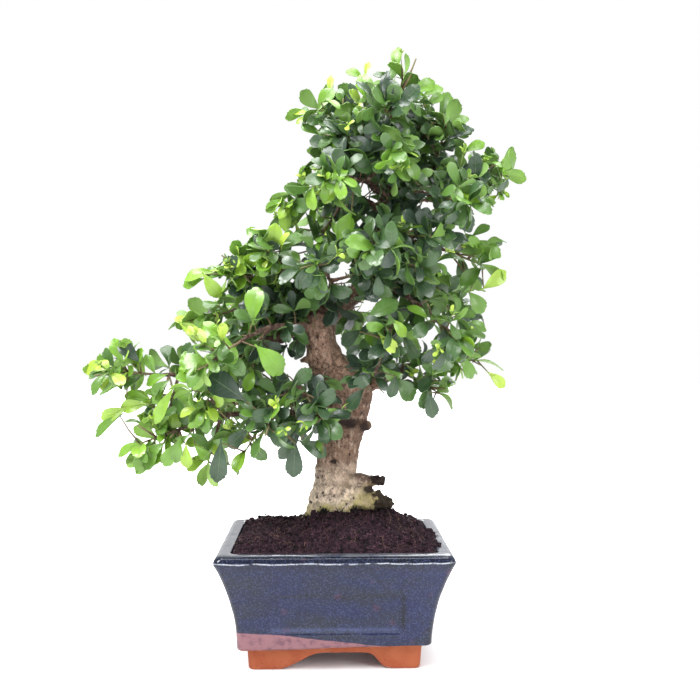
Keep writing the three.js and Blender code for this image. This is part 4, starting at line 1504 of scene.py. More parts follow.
@dataclass(frozen=True)
class Seat:
    """Where a spray's shoot stands."""

    branch: Branch
    start: Vector
    foot: Vector
    way: Vector
    turn: float

    SHOOT_LENGTH = 38.0
    GAP = 0.3

    def ends(self) -> tuple[Vector, Vector]:
        """Returns the two ends of the shoot."""
        start = self.foot + self.GAP * self.way
        return start, start + self.SHOOT_LENGTH * self.way

    def sides(self) -> tuple[Vector, Vector]:
        """Returns two directions square to the shoot."""
        return sides_of(self.way, self.turn)


def sides_of(way: Vector, turn: float) -> tuple[Vector, Vector]:
    """Returns two directions square to a way and to each other, turned round it."""
    across = Matrix.Rotation(turn, 3, way) @ way.cross(UP).normalized()
    return across, across.cross(way)


@dataclass
class Packed:
    """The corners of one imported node, to find which of its choices the part took."""

    name: str
    tree: KDTree = field(init=False)

    def __post_init__(self) -> None:
        """Reads the node's corners, in millimetres from the middle of the tray."""
        corners = [TO_FRAME.inverted() @ vert.co for vert in bpy.data.objects[self.name].data.vertices]
        self.tree = KDTree(len(corners))
        for number, corner in enumerate(corners):
            self.tree.insert(corner, number)
        self.tree.balance()

    def distance(self, place: Vector) -> float:
        """Returns how far a place is from the nearest corner."""
        return self.tree.find(place)[2]


@dataclass
class Skeleton:
    """The rule by which the part seats its sprays on its branches."""

    fork_length: float = 12.0
    fork_spread: float = 1.1
    foot_radius: float = 1.6
    swings: tuple[int, ...] = (0, 30, -30, 60, -60, 90, -90, 120)

    def side_seat(self, branch: Branch, fraction: float, degrees: float, turn: float) -> Seat:
        """Returns a seat at the end of a fork of a branch."""
        start = branch.point(fraction)
        along = branch.tangent(fraction)
        across, _ = sides_of(along, math.radians(degrees))
        way = math.cos(self.fork_spread) * along + math.sin(self.fork_spread) * across
        return Seat(branch, start, start + self.fork_length * way, way, turn)

    def seats(self) -> Iterator[tuple[str, Seat]]:
        """Yields each spray's node and seat, in the part's order."""
        for index, branch in enumerate(BRANCHES):
            end = branch.point(1)
            yield f"{branch.name}_spray_1", Seat(branch, end, end, branch.tangent(1), index)
            for number, (fraction, degrees) in enumerate(branch.sides):
                node = f"{branch.name}_spray_{number + 2}"
                packed = Packed(node)
                turn = index + number + 1
                choices = [self.side_seat(branch, fraction, degrees + swing, turn) for swing in self.swings]
                misses = [abs(packed.distance(seat.ends()[0]) - self.foot_radius) for seat in choices]
                yield node, choices[misses.index(min(misses))]


@dataclass
class Wood:
    """The trunk, its leader, stubs, branches and forks, as one piece of wood."""

    bark: Bark
    ground: Ground
    forks: Sequence[tuple[Vector, Vector]]
    voxel: float = 1.25
    fork_radii: tuple[float, float] = (2.3, 1.9)
    bark_waves: float = 0.045
    moss_top: float = 137.0
    moss_right: float = 22.0
    thin_bark: float = 0.32

    def build(self) -> Object:
        """Returns the wood's piece, which stands for the node trunk."""
        bm = bmesh.new()
        self.add_limb(bm, catmull(TRUNK, LIMB_STEPS), 40, self.bark_waves)
        self.add_limb(bm, catmull(LEADER, LIMB_STEPS), 20, 0.03)
        for stub in STUBS:
            self.add_stub(bm, stub)
        for branch in BRANCHES:
            self.add_branch(bm, branch)
        for foot, end in self.forks:
            rows = [(*foot.lerp(end, step / 4), mix(*self.fork_radii, step / 4)) for step in range(5)]
            self.add_limb(bm, rows, 8, 0.0)
        merged = self.merge(bm)
        self.dress(merged)
        return publish("wood", merged, [self.bark.make()], Slot.BARK, "trunk")

    def add_limb(self, bm: BMesh, rows: Sequence[Sequence[float]], sides: int, waves: float) -> None:
        """Adds a limb through rows of X, Y, Z and radius.

        Args:
            bm: The mesh to add to.
            rows: The limb's rows.
            sides: How many sides it has.
            waves: How uneven its outline is, as a share of its radius.
        """
        def radius(row: int, angle: float) -> float:
            """Returns the limb's radius at a row and an angle."""
            along = row / LIMB_STEPS
            bulge = math.sin(2 * angle + 1.7 * along) + math.sin(5 * angle - 2.3 * along)
            return rows[row][3] * (1 + waves * bulge)
        tube(bm, [Vector(row[:3]) for row in rows], radius, sides)

    def add_stub(self, bm: BMesh, stub: Stub) -> None:
        """Adds one stub."""
        foot, end = Vector(stub.foot), Vector(stub.end)
        steps = 8
        rows = []
        for step in range(steps + 1):
            share = step / steps
            knob = 1 + 0.1 * math.sin(9 * share + stub.thick)
            taper = 1.0 if stub.is_blunt else math.sqrt(1 - 0.85 * smooth_step(share, 0.6, 1.15))
            rows.append((*foot.lerp(end, share), mix(stub.thick, stub.thin, share) * knob * taper))
        self.add_limb(bm, rows, 18, 0.06)

    def add_branch(self, bm: BMesh, branch: Branch) -> None:
        """Adds one branch, knobbly where its old leaves stood."""
        steps = 26
        rows = []
        for step in range(steps + 1):
            share = step / steps
            place = branch.point(share)
            wander = 2.6 * math.sin(math.pi * share) * noise.noise_vector(place / 12)
            knot = 0.82 + 0.75 * max(0.0, ripple(place, 7, 2, branch.thick))
            rows.append((*(place + wander), mix(branch.thick, BRANCH_TIP, share) * knot))
        self.add_limb(bm, rows, 12, 0.04)

    def merge(self, bm: BMesh) -> BMesh:
        """Returns the limbs fused into one skin of even faces.

        Args:
            bm: The limbs. It is freed.

        Returns:
            The fused mesh.
        """
        mesh = to_mesh("limbs", bm)
        limbs = link("limbs", mesh)
        remesh = limbs.modifiers.new("fuse", "REMESH")
        remesh.mode = "VOXEL"
        remesh.voxel_size = self.voxel
        fused = bmesh.new()
        fused.from_object(limbs, bpy.context.evaluated_depsgraph_get())
        bpy.data.objects.remove(limbs)
        bpy.data.meshes.remove(mesh)
        return fused

    def dress(self, bm: BMesh) -> None:
        """Smooths the joins, roughens the bark and writes where it is dark, mossy or sawn."""
        for _ in range(3):
            bmesh.ops.smooth_vert(
                bm, verts=bm.verts, factor=0.5, use_axis_x=True, use_axis_y=True, use_axis_z=True
            )
        bm.normal_update()
        traits = bm.verts.layers.float_color.new(WOOD_TRAITS)
        moves = []
        for vert in bm.verts:
            spot = vert.co.copy()
            thick = self.thickness(spot)
            squashed = Vector((spot.x, spot.y, 0.45 * spot.z))
            lumps = 1.1 * ripple(spot, 13, 3) + 0.75 * ripple(squashed, 3.6, 3, 2.0)
            ridges = 0.35 * math.sin(spot.z * 0.9 + 3 * ripple(spot, 16, 2, 7.0))
            ridges *= smooth_step(170 - spot.z, 0, 30)
            rise = (lumps + ridges) * thick
            dark = 0.35 * smooth_step(ripple(spot, 6, 3, 11.0), 0.18, 0.5) * smooth_step(spot.z, 180, 250)
            # Marks darken knots, cracks and lenticels, and paint shade into the creases and the scarred
            # waist.
            for mark in MARKS:
                share = mark.share(spot)
                rise += mark.rise * share
                dark = max(dark, mark.dark * share)
            for stub, reach in zip(STUBS, ROTTEN):
                away = (spot - Vector(stub.end)).length
                away += 5 * ripple(spot, 8, 3, 4.0) * smooth_step(away, 3, reach)
                end = 1 - smooth_step(away, reach - 2.5, reach + 1.5)
                rise += end * (3.2 * ripple(spot, 6, 3, 6.0) + 0.4)
                dark = max(dark, end * (1.6 + 0.8 * ripple(spot, 6, 3, 8.0)))
            soil = self.ground.at(spot.x, spot.y)
            dark = max(dark, 1 - smooth_step(spot.z + 1.5 * ripple(spot, 5, 2), soil - 1, soil + 3.5))
            moss_top = self.moss_top + self.moss_right * smooth_step(spot.x, 0, 26)
            moss = 1 - smooth_step(spot.z, soil + 4, moss_top)
            sawn = self.sawn_share(spot, vert.normal)
            vert[traits] = (min(1.0, dark), moss, sawn, (1 - thick) / (1 - self.thin_bark))
            moves.append((vert, vert.normal * rise))
        for vert, move in moves:
            vert.co += move
        for face in bm.faces:
            face.smooth = True

    def thickness(self, spot: Vector) -> float:
        """Returns 1 on the trunk and less on thin wood, so that its bark is finer."""
        near = min((Vector(row[:3]) - spot).length - row[3] for row in (*TRUNK, *LEADER[:3]))
        return mix(1.0, self.thin_bark, smooth_step(near, 3.0, 14.0))

    @staticmethod
    def sawn_share(spot: Vector, normal: Vector) -> float:
        """Returns 1 on the end face of the sawn stub, and 0 elsewhere."""
        end = Vector(SAWN.end)
        way = (end - Vector(SAWN.foot)).normalized()
        is_near = (spot - end).length < 2 * SAWN.thin and (spot - end).dot(way) > -2.5
        return float(is_near and normal.dot(way) > 0.5)


@dataclass(frozen=True)
class LeafShape:
    """The outline of a leaf: a wedge from its stalk, a broad shoulder, then blunt teeth to the tip.

    Each row is a share of the length, the half width there as a share of it, and how far the row's ends
    fall behind its middle.
    """

    rows: tuple[tuple[float, float, float], ...] = (
        (-0.12, 0.018, 0.0), (0.0, 0.028, 0.0), (0.13, 0.085, 0.0), (0.3, 0.168, 0.0), (0.48, 0.232, 0.0),
        (0.65, 0.262, 0.0), (0.78, 0.254, 0.0), (0.81, 0.222, 0.02), (0.9, 0.206, 0.02), (0.925, 0.16, 0.04),
        (1.0, 0.098, 0.05),
    )
    columns: int = 4
    thickness: float = 0.42

    def template(self) -> tuple[Mesh, list[tuple[float, float, float]]]:
        """Returns a flat leaf.

        Returns:
            A mesh of unit length with its map, and for each of its vertices the place across from -1 to
            1, the row and 1 on the under skin.
        """
        bm = bmesh.new()
        steps = len(self.rows) - 1
        bmesh.ops.create_grid(bm, x_segments=self.columns, y_segments=steps, size=0.5)
        bmesh.ops.solidify(bm, geom=bm.faces[:], thickness=0.1)
        bmesh.ops.recalc_face_normals(bm, faces=bm.faces)
        uv = bm.loops.layers.uv.new(LEAF_MAP)
        bm.verts.index_update()
        spots = []
        for vert in bm.verts:
            across = 2 * vert.co.x
            row = round((vert.co.y + 0.5) * steps)
            spots.append((across, row, float(vert.co.z < -0.05)))
        for face in bm.faces:
            face.smooth = True
            for loop in face.loops:
                across, row, _ = spots[loop.vert.index]
                loop[uv].uv = (across, self.rows[row][0])
        for edge in bm.edges:
            skins = {spots[vert.index][2] for vert in edge.verts}
            is_rim = any(len({spots[vert.index][2] for vert in face.verts}) == 2 for face in edge.link_faces)
            edge.smooth = not is_rim or len(skins) == 2
        return to_mesh("leaf_template", bm), spots


SMALL_LEAF = LeafShape((
    (-0.12, 0.024, 0.0), (0.04, 0.045, 0.0), (0.27, 0.152, 0.0), (0.5, 0.235, 0.0), (0.7, 0.262, 0.0),
    (0.84, 0.236, 0.01), (0.92, 0.178, 0.03), (1.0, 0.095, 0.05),
), 2)


@dataclass(frozen=True)
class LeafPose:
    """How one leaf is placed, sized and bent."""

    root: Vector
    along: Vector
    normal: Vector
    length: float
    age: float
    fold: float = 0.16
    arch: float = 0.06
    droop: float = 0.2
    twist: float = 0.0
    width: float = 1.0


class LeafMaker:
    """Adds leaves to a spray's mesh from one flat leaf."""

    def __init__(self, shape: LeafShape) -> None:
        """Makes the flat leaf.

        Args:
            shape: The leaf's outline.
        """
        self.shape = shape
        self.mesh, self.spots = shape.template()

    def add(self, bm: BMesh, pose: LeafPose, draw: float) -> None:
        """Adds one leaf.

        Args:
            bm: The spray's mesh, which has the leaf's traits.
            pose: How the leaf is placed.
            draw: A number from 0 to 1 of the leaf's own.
        """
        corners = append(bm, self.mesh)
        traits = bm.verts.layers.float_color[LEAF_TRAITS]
        across = pose.along.cross(pose.normal).normalized()
        normal = across.cross(pose.along)
        length = pose.length
        for vert, (u, row, under) in zip(corners, self.spots):
            v, half, lag = self.shape.rows[row]
            x = u * half * pose.width
            y = v - lag * u * u
            bend = max(0.0, v)
            twist = pose.twist * bend
            z = pose.arch * math.sin(math.pi * bend) - pose.droop * bend * bend
            z += pose.fold * abs(x) * (1 - 0.6 * bend) - 0.35 * x * x * bend
            z = z * length - under * self.shape.thickness
            side = x * length
            place = pose.root + y * length * pose.along
            place += (side * math.cos(twist) - z * math.sin(twist)) * across
            place += (side * math.sin(twist) + z * math.cos(twist)) * normal
            vert.co = place
            vert[traits] = (pose.age, under, draw, 1.0)


@dataclass(frozen=True)
class CadLeaf:
    """One leaf of the part's growth rule."""

    fraction: float
    quarter: int
    is_last: bool = False


CAD_LEAVES = tuple(CadLeaf(*row) for row in (
    (0.22, 0), (0.36, 2), (0.55, 1), (0.68, 3), (0.88, 0), (0.94, 2, True),
))
TONES = {Slot.BRIGHT: 0.46, Slot.MID: 0.6, Slot.DARK: 0.8}

# Where the eye stands for the clearings, and how far off the upright plane is that their edges lie in.
EYE_X, EYE_Z, EYE_AWAY = -4, 286, 800
PLANE_AWAY = 790

# Each clearing has its left, right, low and high edges, and the Y in front of which it holds.
CLEARINGS = (
    (-27, 15, 246, 293, 5), (0, 70, 100, 209, 5), (10, 70, 205, 242, 5), (-127, 70, 100, 180, 200),
    (88, 140, 478, 560, 200), (122, 170, 448, 484, 200), (20, 42, 402, 421, 200), (71, 93, 392, 413, 200),
    (-10, 17, 329, 352, 200), (-6, 8, 371, 391, 200), (14, 28, 371, 389, 200), (-29, -12, 386, 400, 200),
    (-40, -24, 353, 363, 200), (84, 103, 346, 365, 200), (-105, -75, 229, 255, -45),
    (20, 90, 523, 560, 200), (-34, -10, 486, 508, 200), (156, 180, 405, 437, 200),
    (125, 160, 385, 403, 200), (109, 160, 337, 357, 200), (116, 152, 238, 274, 200),
    (64, 122, 196, 240, 200), (33, 68, 212, 240, 200), (-98, -46, 100, 197, 200),
    (-138, -102, 100, 185, 200), (-204, -180, 168, 197, 200), (-216, -191, 217, 236, 200),
    (-214, -196, 262, 276, 200), (-138, -110, 308, 327, 200), (-103, -85, 354, 371, 200),
    (-72, -52, 384, 398, 200), (-58, -34, 409, 425, 200), (16, 36, 303, 319, 200),
    (-46, -29, 245, 268, 200), (-196, -172, 224, 242, 200), (-172, -156, 192, 206, 200),
    (-204, -174, 186, 206, 200), (-26, -14, 424, 446, 200), (-106, -94, 327, 338, 200),
    (62, 90, 512, 560, 200), (71, 93, 405, 416, 200),
)


def is_clearing(place: Vector) -> bool:
    """Tells whether a leaf there would hide bare wood or fill an open corner, as seen from the front."""
    scale = PLANE_AWAY / (EYE_AWAY + place.y)
    x = mix(EYE_X, place.x, scale)
    z = mix(EYE_Z, place.z, scale)
    return any(
        left < x < right and low < z < high and place.y < back for left, right, low, high, back in CLEARINGS
    )


@dataclass(frozen=True)
class LoneLeaf:
    """A leaf that stands out from the rest, by the X and Z of its root and then of its tip."""

    root_x: float
    root_z: float
    tip_x: float
    tip_z: float
    depth: float
    age: float
    width: float = 1.0

    def spots(self) -> tuple[Vector, Vector]:
        """Returns the places of its root and tip."""
        root = Vector((self.root_x, self.depth, self.root_z))
        return root, Vector((self.tip_x, self.depth, self.tip_z))


LONE_LEAVES = tuple(LoneLeaf(*row) for row in (
    (56, 524, 57, 545, 0, 0.3), (34, 484, 22, 510, -34, 0.3), (68, 498, 89, 509, -20, 0.35),
    (59, 487, 76, 476, -34, 0.5), (155, 425, 158, 448, -4, 0.22), (94, 477, 119, 471, -6, 0.35),
    (68, 416, 83, 425, -52, 0.4), (39, 379, 54, 361, -66, 0.4), (2, 364, 15, 383, -60, 0.3),
    (1, 441, 13, 431, -50, 0.35), (-14, 459, 1, 445, -40, 0.4), (-30, 415, -23, 435, -20, 0.3),
    (-45, 405, -61, 395, -14, 0.3), (-34, 402, -49, 387, -24, 0.15), (-62, 370, -78, 379, -14, 0.35),
    (-107, 341, -133, 335, -12, 0.22), (-114, 338, -100, 318, -24, 0.15),
    (-67, 297, -65, 325, -70, 0.3, 1.15), (-63, 275, -42, 254, -74, 0.32, 1.25),
    (-76, 233, -103, 252, -74, 0.97, 1.25), (-194, 260, -222, 253, -12, 0.04),
    (-187, 258, -196, 240, -22, 0.4), (-171, 262, -188, 280, -24, 0.95), (-184, 220, -206, 211, -16, 0.15),
    (-189, 214, -213, 197, -18, 0.42, 0.65), (-140, 238, -157, 208, -34, 0.2, 0.6),
    (-134, 296, -113, 282, -30, 0.12), (-188, 242, -209, 239, -10, 0.1), (-150, 190, -172, 173, -22, 0.4),
    (-122, 188, -109, 176, -26, 0.3), (-75, 203, -92, 189, -40, 0.8, 1.2),
    (-42, 211, -58, 200, -50, 0.9, 1.3), (-14, 483, -2, 503, -20, 0.35, 1.1),
    (3, 434, 5, 449, -60, 0.4, 1.5), (14, 388, 2, 367, -60, 0.3), (105, 413, 87, 396, -30, 0.7, 1.2),
    (106, 398, 121, 376, -30, 0.9, 1.1), (146, 410, 129, 399, -8, 0.1), (124, 374, 139, 384, -10, 0.5),
    (-96, 194, -99, 160, -54, 0.85, 0.85), (-22, 481, -37, 484, -12, 0.0, 0.8),
    (-24, 479, -34, 473, -12, 0.05, 0.8), (-4, 500, -3, 517, -10, 0.0, 0.7), (25, 511, 11, 519, -20, 0.3),
    (27, 514, 31, 527, -16, 0.0, 0.8), (80, 499, 97, 507, -10, 0.35, 1.1), (117, 449, 135, 459, -8, 0.3),
    (121, 323, 134, 305, -10, 0.4, 1.3), (119, 296, 138, 291, -8, 0.4), (114, 266, 125, 246, -10, 0.4),
    (55, 247, 70, 228, -26, 0.6, 1.3), (60, 283, 75, 265, -20, 0.7, 1.2), (23, 289, 6, 277, -22, 0.8, 1.2),
    (25, 277, 11, 265, -24, 0.85, 1.1), (-117, 335, -135, 329, -10, 0.3), (-158, 252, -166, 268, -20, 0.4),
    (-124, 262, -137, 252, -24, 0.3), (-127, 253, -131, 271, -24, 0.3), (-164, 228, -186, 232, -14, 0.25),
    (-166, 224, -189, 221, -16, 0.15), (-162, 221, -177, 237, -10, 0.1, 0.8),
    (-141, 241, -125, 229, -28, 0.35), (-149, 237, -159, 225, -24, 0.3),
    (-139, 190, -149, 170, -26, 0.35, 1.1), (-151, 189, -159, 171, -20, 0.3),
    (-126, 199, -111, 189, -26, 0.5), (-128, 197, -141, 189, -24, 0.4), (-10, 185, -15, 196, -52, 0.4),
    (-186, 262, -194, 282, -20, 0.3, 1.1), (-33, 193, -35, 164, -52, 0.85), (-34, 195, -48, 180, -50, 0.8),
    (-29, 195, -6, 184, -52, 0.75), (-158, 181, -176, 163, -18, 0.3), (-129, 189, -128, 169, -30, 0.12),
    (25, 239, 11, 221, -44, 0.85), (-1, 236, -27, 247, -40, 0.95), (27, 299, 52, 314, -74, 0.55),
    (47, 298, 59, 284, -76, 0.2), (37, 286, 51, 271, -74, 0.0), (134, 327, 155, 342, -10, 0.1),
    (125, 369, 149, 355, -14, 0.4), (82, 235, 87, 212, -30, 0.8), (139, 251, 154, 238, -8, 0.02),
    (54, 249, 49, 230, -30, 0.75), (-12, 461, -29, 469, -20, 0.45), (82, 489, 97, 499, -14, 0.4),
    (-134, 195, -139, 173, -30, 0.4), (-148, 250, -166, 243, -22, 0.3), (-145, 245, -160, 234, -26, 0.45),
))


@dataclass(frozen=True)
class Twig:
    """A thin twig: its middle line, its radius at a share of the way, its sides and its age there."""

    centres: Sequence[Vector]
    radius: Callable[[float], float]
    sides: int
    age: Callable[[float], float]

    def add(self, bm: BMesh) -> None:
        """Adds the twig to a mesh that has the leaves' traits."""
        traits = bm.verts.layers.float_color[LEAF_TRAITS]
        start = self.centres[0]
        way = self.centres[-1] - start
        steps = len(self.centres) - 1
        for vert in tube(bm, self.centres, lambda row, _: self.radius(row / steps), self.sides, 1):
            share = (vert.co - start).dot(way) / way.length_squared
            vert[traits] = (self.age(min(1.0, max(0.0, share))), 0.0, 0.0, 1.0)


@dataclass
class Foliage:
    """A mesh of leaves and twigs, with the rules for a bunch of leaves."""

    large: LeafMaker
    small: LeafMaker
    slot: Slot
    dice: Dice
    canopy_x: float = 10.0
    twigs: list[Twig] = field(default_factory=list)
    bm: BMesh = field(default_factory=bmesh.new)

    def __post_init__(self) -> None:
        """Gives the mesh the leaves' traits and map."""
        self.bm.verts.layers.float_color.new(LEAF_TRAITS)
        self.bm.loops.layers.uv.new(LEAF_MAP)

    def finish(self, name: str, materials: Sequence[Material], *nodes: str) -> Object:
        """Adds the twigs after all the leaves, and makes the mesh a piece."""
        for twig in self.twigs:
            twig.add(self.bm)
        return publish(name, self.bm, materials, self.slot, *nodes)

    def age(self, place: Vector, youth: float = 0.0) -> float:
        """Returns the age of a leaf, younger far from the trunk, with a few much younger ones."""
        away = min((Vector(row[:3]) - place).length for row in (*TRUNK[8::2], *LEADER))
        base = TONES[self.slot] + self.dice.between(-0.24, 0.24) - youth + 0.14
        base -= 0.27 * smooth_step(away, 30, 120)
        roll = self.dice.next()
        if roll < 0.1:
            base -= 0.25
        elif roll > 0.86:
            base += 0.3
        return min(1.0, max(0.0, base))

    def faced(self, along: Vector, root: Vector, turn: float, tilt: float) -> Vector:
        """Returns the way that a leaf's upper face looks, up and outward as far as its own way lets it."""
        away = Vector((root.x - self.canopy_x, root.y, 0)).normalized()
        light = 0.6 * UP + 0.8 * (Matrix.Rotation(turn, 3, UP) @ away)
        normal = (light - light.dot(along) * along).normalized()
        return Matrix.Rotation(tilt, 3, along) @ normal

    def bunch(self, node: Vector, way: Vector, count: int, lengths: tuple[float, float],
              spreads: tuple[float, float], youth: float) -> None:
        """Adds a bunch of leaves from one node of a twig.

        Args:
            node: Where the leaves stand.
            way: The way of the twig there.
            count: How many leaves there are.
            lengths: Their least and greatest length.
            spreads: The least and greatest angle between a leaf and the twig.
            youth: How much younger they are than the foliage.
        """
        dice = self.dice
        first = dice.between(0, 2 * math.pi)
        across = way.orthogonal().normalized()
        over = way.cross(across)
        for leaf in range(count):
            angle = first + leaf * GOLDEN_ANGLE + dice.between(-0.3, 0.3)
            spread = dice.between(*spreads)
            sideways = math.cos(angle) * across + math.sin(angle) * over
            along = (math.cos(spread) * way + math.sin(spread) * sideways).normalized()
            length = dice.between(*lengths)
            root = node + 0.12 * length * along
            if is_clearing(root + 0.6 * length * along):
                continue
            normal = self.faced(along, root, dice.between(-1.4, 1.4), dice.between(-1.25, 1.25))
            pose = LeafPose(
                root, along, normal, length, self.age(root, youth), fold=dice.between(0.05, 0.75),
                arch=dice.between(0.0, 0.14), droop=dice.between(0.02, 0.42), twist=dice.between(-0.8, 0.8),
                width=dice.between(0.85, 1.2),
            )
            (self.large if length > 20 else self.small).add(self.bm, pose, dice.next())

    def spur(self, foot: Vector, way: Vector, length: float, thick: float) -> Vector:
        """Adds a short twig.

        Args:
            foot: Where it starts.
            way: The way that it points.
            length: Its length.
            thick: Its radius at the foot.

        Returns:
            Its tip.
        """
        tip = foot + length * way
        bow = foot.lerp(tip, 0.5) + 0.08 * length * noise.noise_vector(foot / 9)
        line = [foot, foot.lerp(bow, 0.6), bow, tip]
        self.twigs.append(Twig(line, lambda at: thick * (1 - 0.4 * at), 5, lambda at: 1.0 - 0.25 * at))
        return tip

    def buds(self, foot: Vector, way: Vector, length: float) -> None:
        """Adds a pale stalk with a cluster of buds at its tip.

        Args:
            foot: Where the stalk starts.
            way: The way that it points.
            length: Its length.
        """
        dice = self.dice
        tip = foot + length * way
        bow = foot.lerp(tip, 0.5) + 0.1 * length * noise.noise_vector(foot / 7)
        self.twigs.append(Twig([foot, bow, tip], lambda at: 0.5 - 0.15 * at, 4, lambda at: 0.1))
        for _ in range(4):
            stray = Vector((dice.between(-1, 1), dice.between(-1, 1), dice.between(-1, 1)))
            aim = (way + 0.9 * stray).normalized()
            line = [tip, tip + dice.between(1.2, 2.6) * aim, tip + dice.between(3.2, 4.4) * aim]
            self.twigs.append(Twig(line, lambda at: (0.35, 1.0, 0.55)[round(2 * at)], 5, lambda at: 0.0))
        self.bunch(tip, way, 3, (6, 9), (0.2, 1.0), 1.0)


@dataclass
class Spray(Foliage):
    """One leafy spray: its shoot, the part's own leaves in finer form, and the smaller ones round them."""

    node: str = ""
    number: int = 0
    seat: Seat | None = None
    shrink: float = 0.8
    tilts: tuple[float, ...] = (0.0, 0.5, -0.5, 1.0, -1.0, 1.5, -1.5)
    companions: int = 2
    spurs: int = 6
    bare_twigs: int = 2

    def build(self, materials: Sequence[Material]) -> Object:
        """Returns the spray's piece, which stands for its node.

        Args:
            materials: The materials of its leaves and of its twigs.

        Returns:
            The piece.
        """
        dice = self.dice
        start, end = self.seat.ends()
        across, over = self.seat.sides()
        for pose in self.cad_leaves():
            self.large.add(self.bm, pose, dice.next())
        for leaf in CAD_LEAVES:
            node = start.lerp(end, leaf.fraction)
            self.bunch(node, self.seat.way, self.companions, (13, 23), (0.7, 1.5), 0.0)
        for number in range(self.spurs):
            foot = start.lerp(end, 0.08 + 0.84 * (number + dice.between(0.2, 0.8)) / self.spurs)
            angle = GOLDEN_ANGLE * number + self.seat.turn
            sideways = math.cos(angle) * across + math.sin(angle) * over
            way = (0.55 * self.seat.way + 0.9 * sideways + 0.2 * UP).normalized()
            tip = self.spur(foot, way, dice.between(7, 19), 0.9)
            self.bunch(tip, way, 4, (13, 23), (0.3, 1.45), 0.03)
            if dice.next() < 0.2:
                self.buds(tip, (way + 0.5 * UP).normalized(), dice.between(7, 14))
        self.bunch(end, self.seat.way, 5, (8, 17), (0.2, 0.9), 0.22)
        for _ in range(self.bare_twigs):
            aim = Vector((dice.between(-1, 1), dice.between(-1, 0.6), dice.between(-0.5, 0.8)))
            way = (0.6 * self.seat.way + aim).normalized()
            self.spur(start.lerp(end, dice.between(0.0, 0.7)), way, dice.between(16, 30), 1.15)
        self.twigs.append(self.shoot())
        return self.finish(f"foliage_{self.node}", materials, self.node)

    def cad_leaves(self) -> Iterator[LeafPose]:
        """Yields the part's own leaves of this spray, at the tries that the part took."""
        packed = Packed(self.node)
        start, end = self.seat.ends()
        across, over = self.seat.sides()
        rule = Dice(1 + 7919 * (self.number + 1))
        for leaf in CAD_LEAVES:
            spread_roll = rule.between(-0.2, 0.2)
            tilt = rule.between(-0.3, 0.3)
            turn = rule.between(-1.1, 1.1)
            length = rule.between(25, 33)
            root = start.lerp(end, leaf.fraction)
            spread = 0.2 if leaf.is_last else mix(1.25, 0.85, leaf.fraction) + spread_roll
            angle = math.pi / 2 * leaf.quarter
            sideways = math.cos(angle) * across + math.sin(angle) * over
            along = math.cos(spread) * self.seat.way + math.sin(spread) * sideways
            tries = []
            for trial, extra in enumerate(self.tilts):
                normal = self.faced(along, root, turn, tilt + extra)
                size = length * (1 - 0.03 * trial)
                tip = root + size * along + (0.35 - 0.16 * size) * normal
                tries.append((packed.distance(tip), trial, normal, size))
            distance, _, normal, size = min(tries, key=lambda entry: entry[:2])
            if distance < 0.3:
                age = self.age(root, 0.1 * leaf.fraction)
                yield LeafPose(
                    root, along, normal, self.shrink * size, age, self.dice.between(0.1, 0.5), droop=0.17,
                    twist=self.dice.between(-0.4, 0.4), width=1.12,
                )

    def shoot(self) -> Twig:
        """Returns the shoot, which is brown at its foot."""
        start, end = self.seat.ends()
        steps = 8
        centres = []
        for step in range(steps + 1):
            share = step / steps
            sway = 0.7 * math.sin(math.pi * share) * noise.noise_vector(start.lerp(end, share) / 11)
            centres.append(start.lerp(end, share) + sway)
        centres[0] = start - 1.5 * self.seat.way

        def radius(share: float) -> float:
            """Returns the shoot's radius, with a knot at each pair of leaves."""
            return mix(1.35, 0.6, share) * (1 + 0.1 * math.cos(8 * math.pi * share))
        return Twig(centres, radius, 6, lambda share: 1 - 0.6 * share)


@dataclass
class OldWoodLeaves(Foliage):
    """The dark leaves that stand in bunches straight off a branch or the leader."""

    reach: tuple[float, float] = (4.0, 10.0)
    leaves: int = 6

    def build(
        self, name: str, nodes: Iterable[tuple[Vector, Vector, float]], materials: Sequence[Material]
    ) -> None:
        """Makes the piece.

        Args:
            name: The piece's name.
            nodes: For each bunch the place on the wood's middle line, the way along it and its radius.
            materials: The materials of the leaves and of the twigs.
        """
        for number, (place, along, thick) in enumerate(nodes):
            across, over = sides_of(along, GOLDEN_ANGLE * number + self.dice.between(-0.4, 0.4))
            way = (across + 0.35 * over + 0.3 * along + 0.15 * UP).normalized()
            tip = self.spur(place, way, thick + self.dice.between(*self.reach), 0.9)
            self.bunch(tip, way, self.leaves, (12, 22), (0.3, 1.4), 0.0)
        self.finish(f"old_wood_leaves_{name}", materials)


@dataclass
class LoneLeaves(Foliage):
    """The leaves that stand out from the rest, each on a twig of its own."""

    def build(self, materials: Sequence[Material], holds: Sequence[Vector]) -> None:
        """Makes the piece.

        Args:
            materials: The materials of the leaves and of the twigs.
            holds: Places on the wood and the shoots, of which each leaf's twig starts at the nearest.
        """
        dice = self.dice
        for leaf in LONE_LEAVES:
            root, tip = leaf.spots()
            along = (tip - root).normalized()
            facing = Vector((dice.between(-0.3, 0.3), -1, dice.between(0.1, 0.6)))
            normal = (facing - facing.dot(along) * along).normalized()
            pose = LeafPose(root, along, normal, (tip - root).length, leaf.age, dice.between(0.15, 0.6),
                            droop=dice.between(0.02, 0.2), twist=dice.between(-0.3, 0.3), width=leaf.width)
            self.large.add(self.bm, pose, dice.next())
            foot = min(holds, key=lambda hold: (hold - root).length)
            self.spur(foot, (root - foot).normalized(), (root - foot).length, 0.85)
        self.finish("lone_leaves", materials)


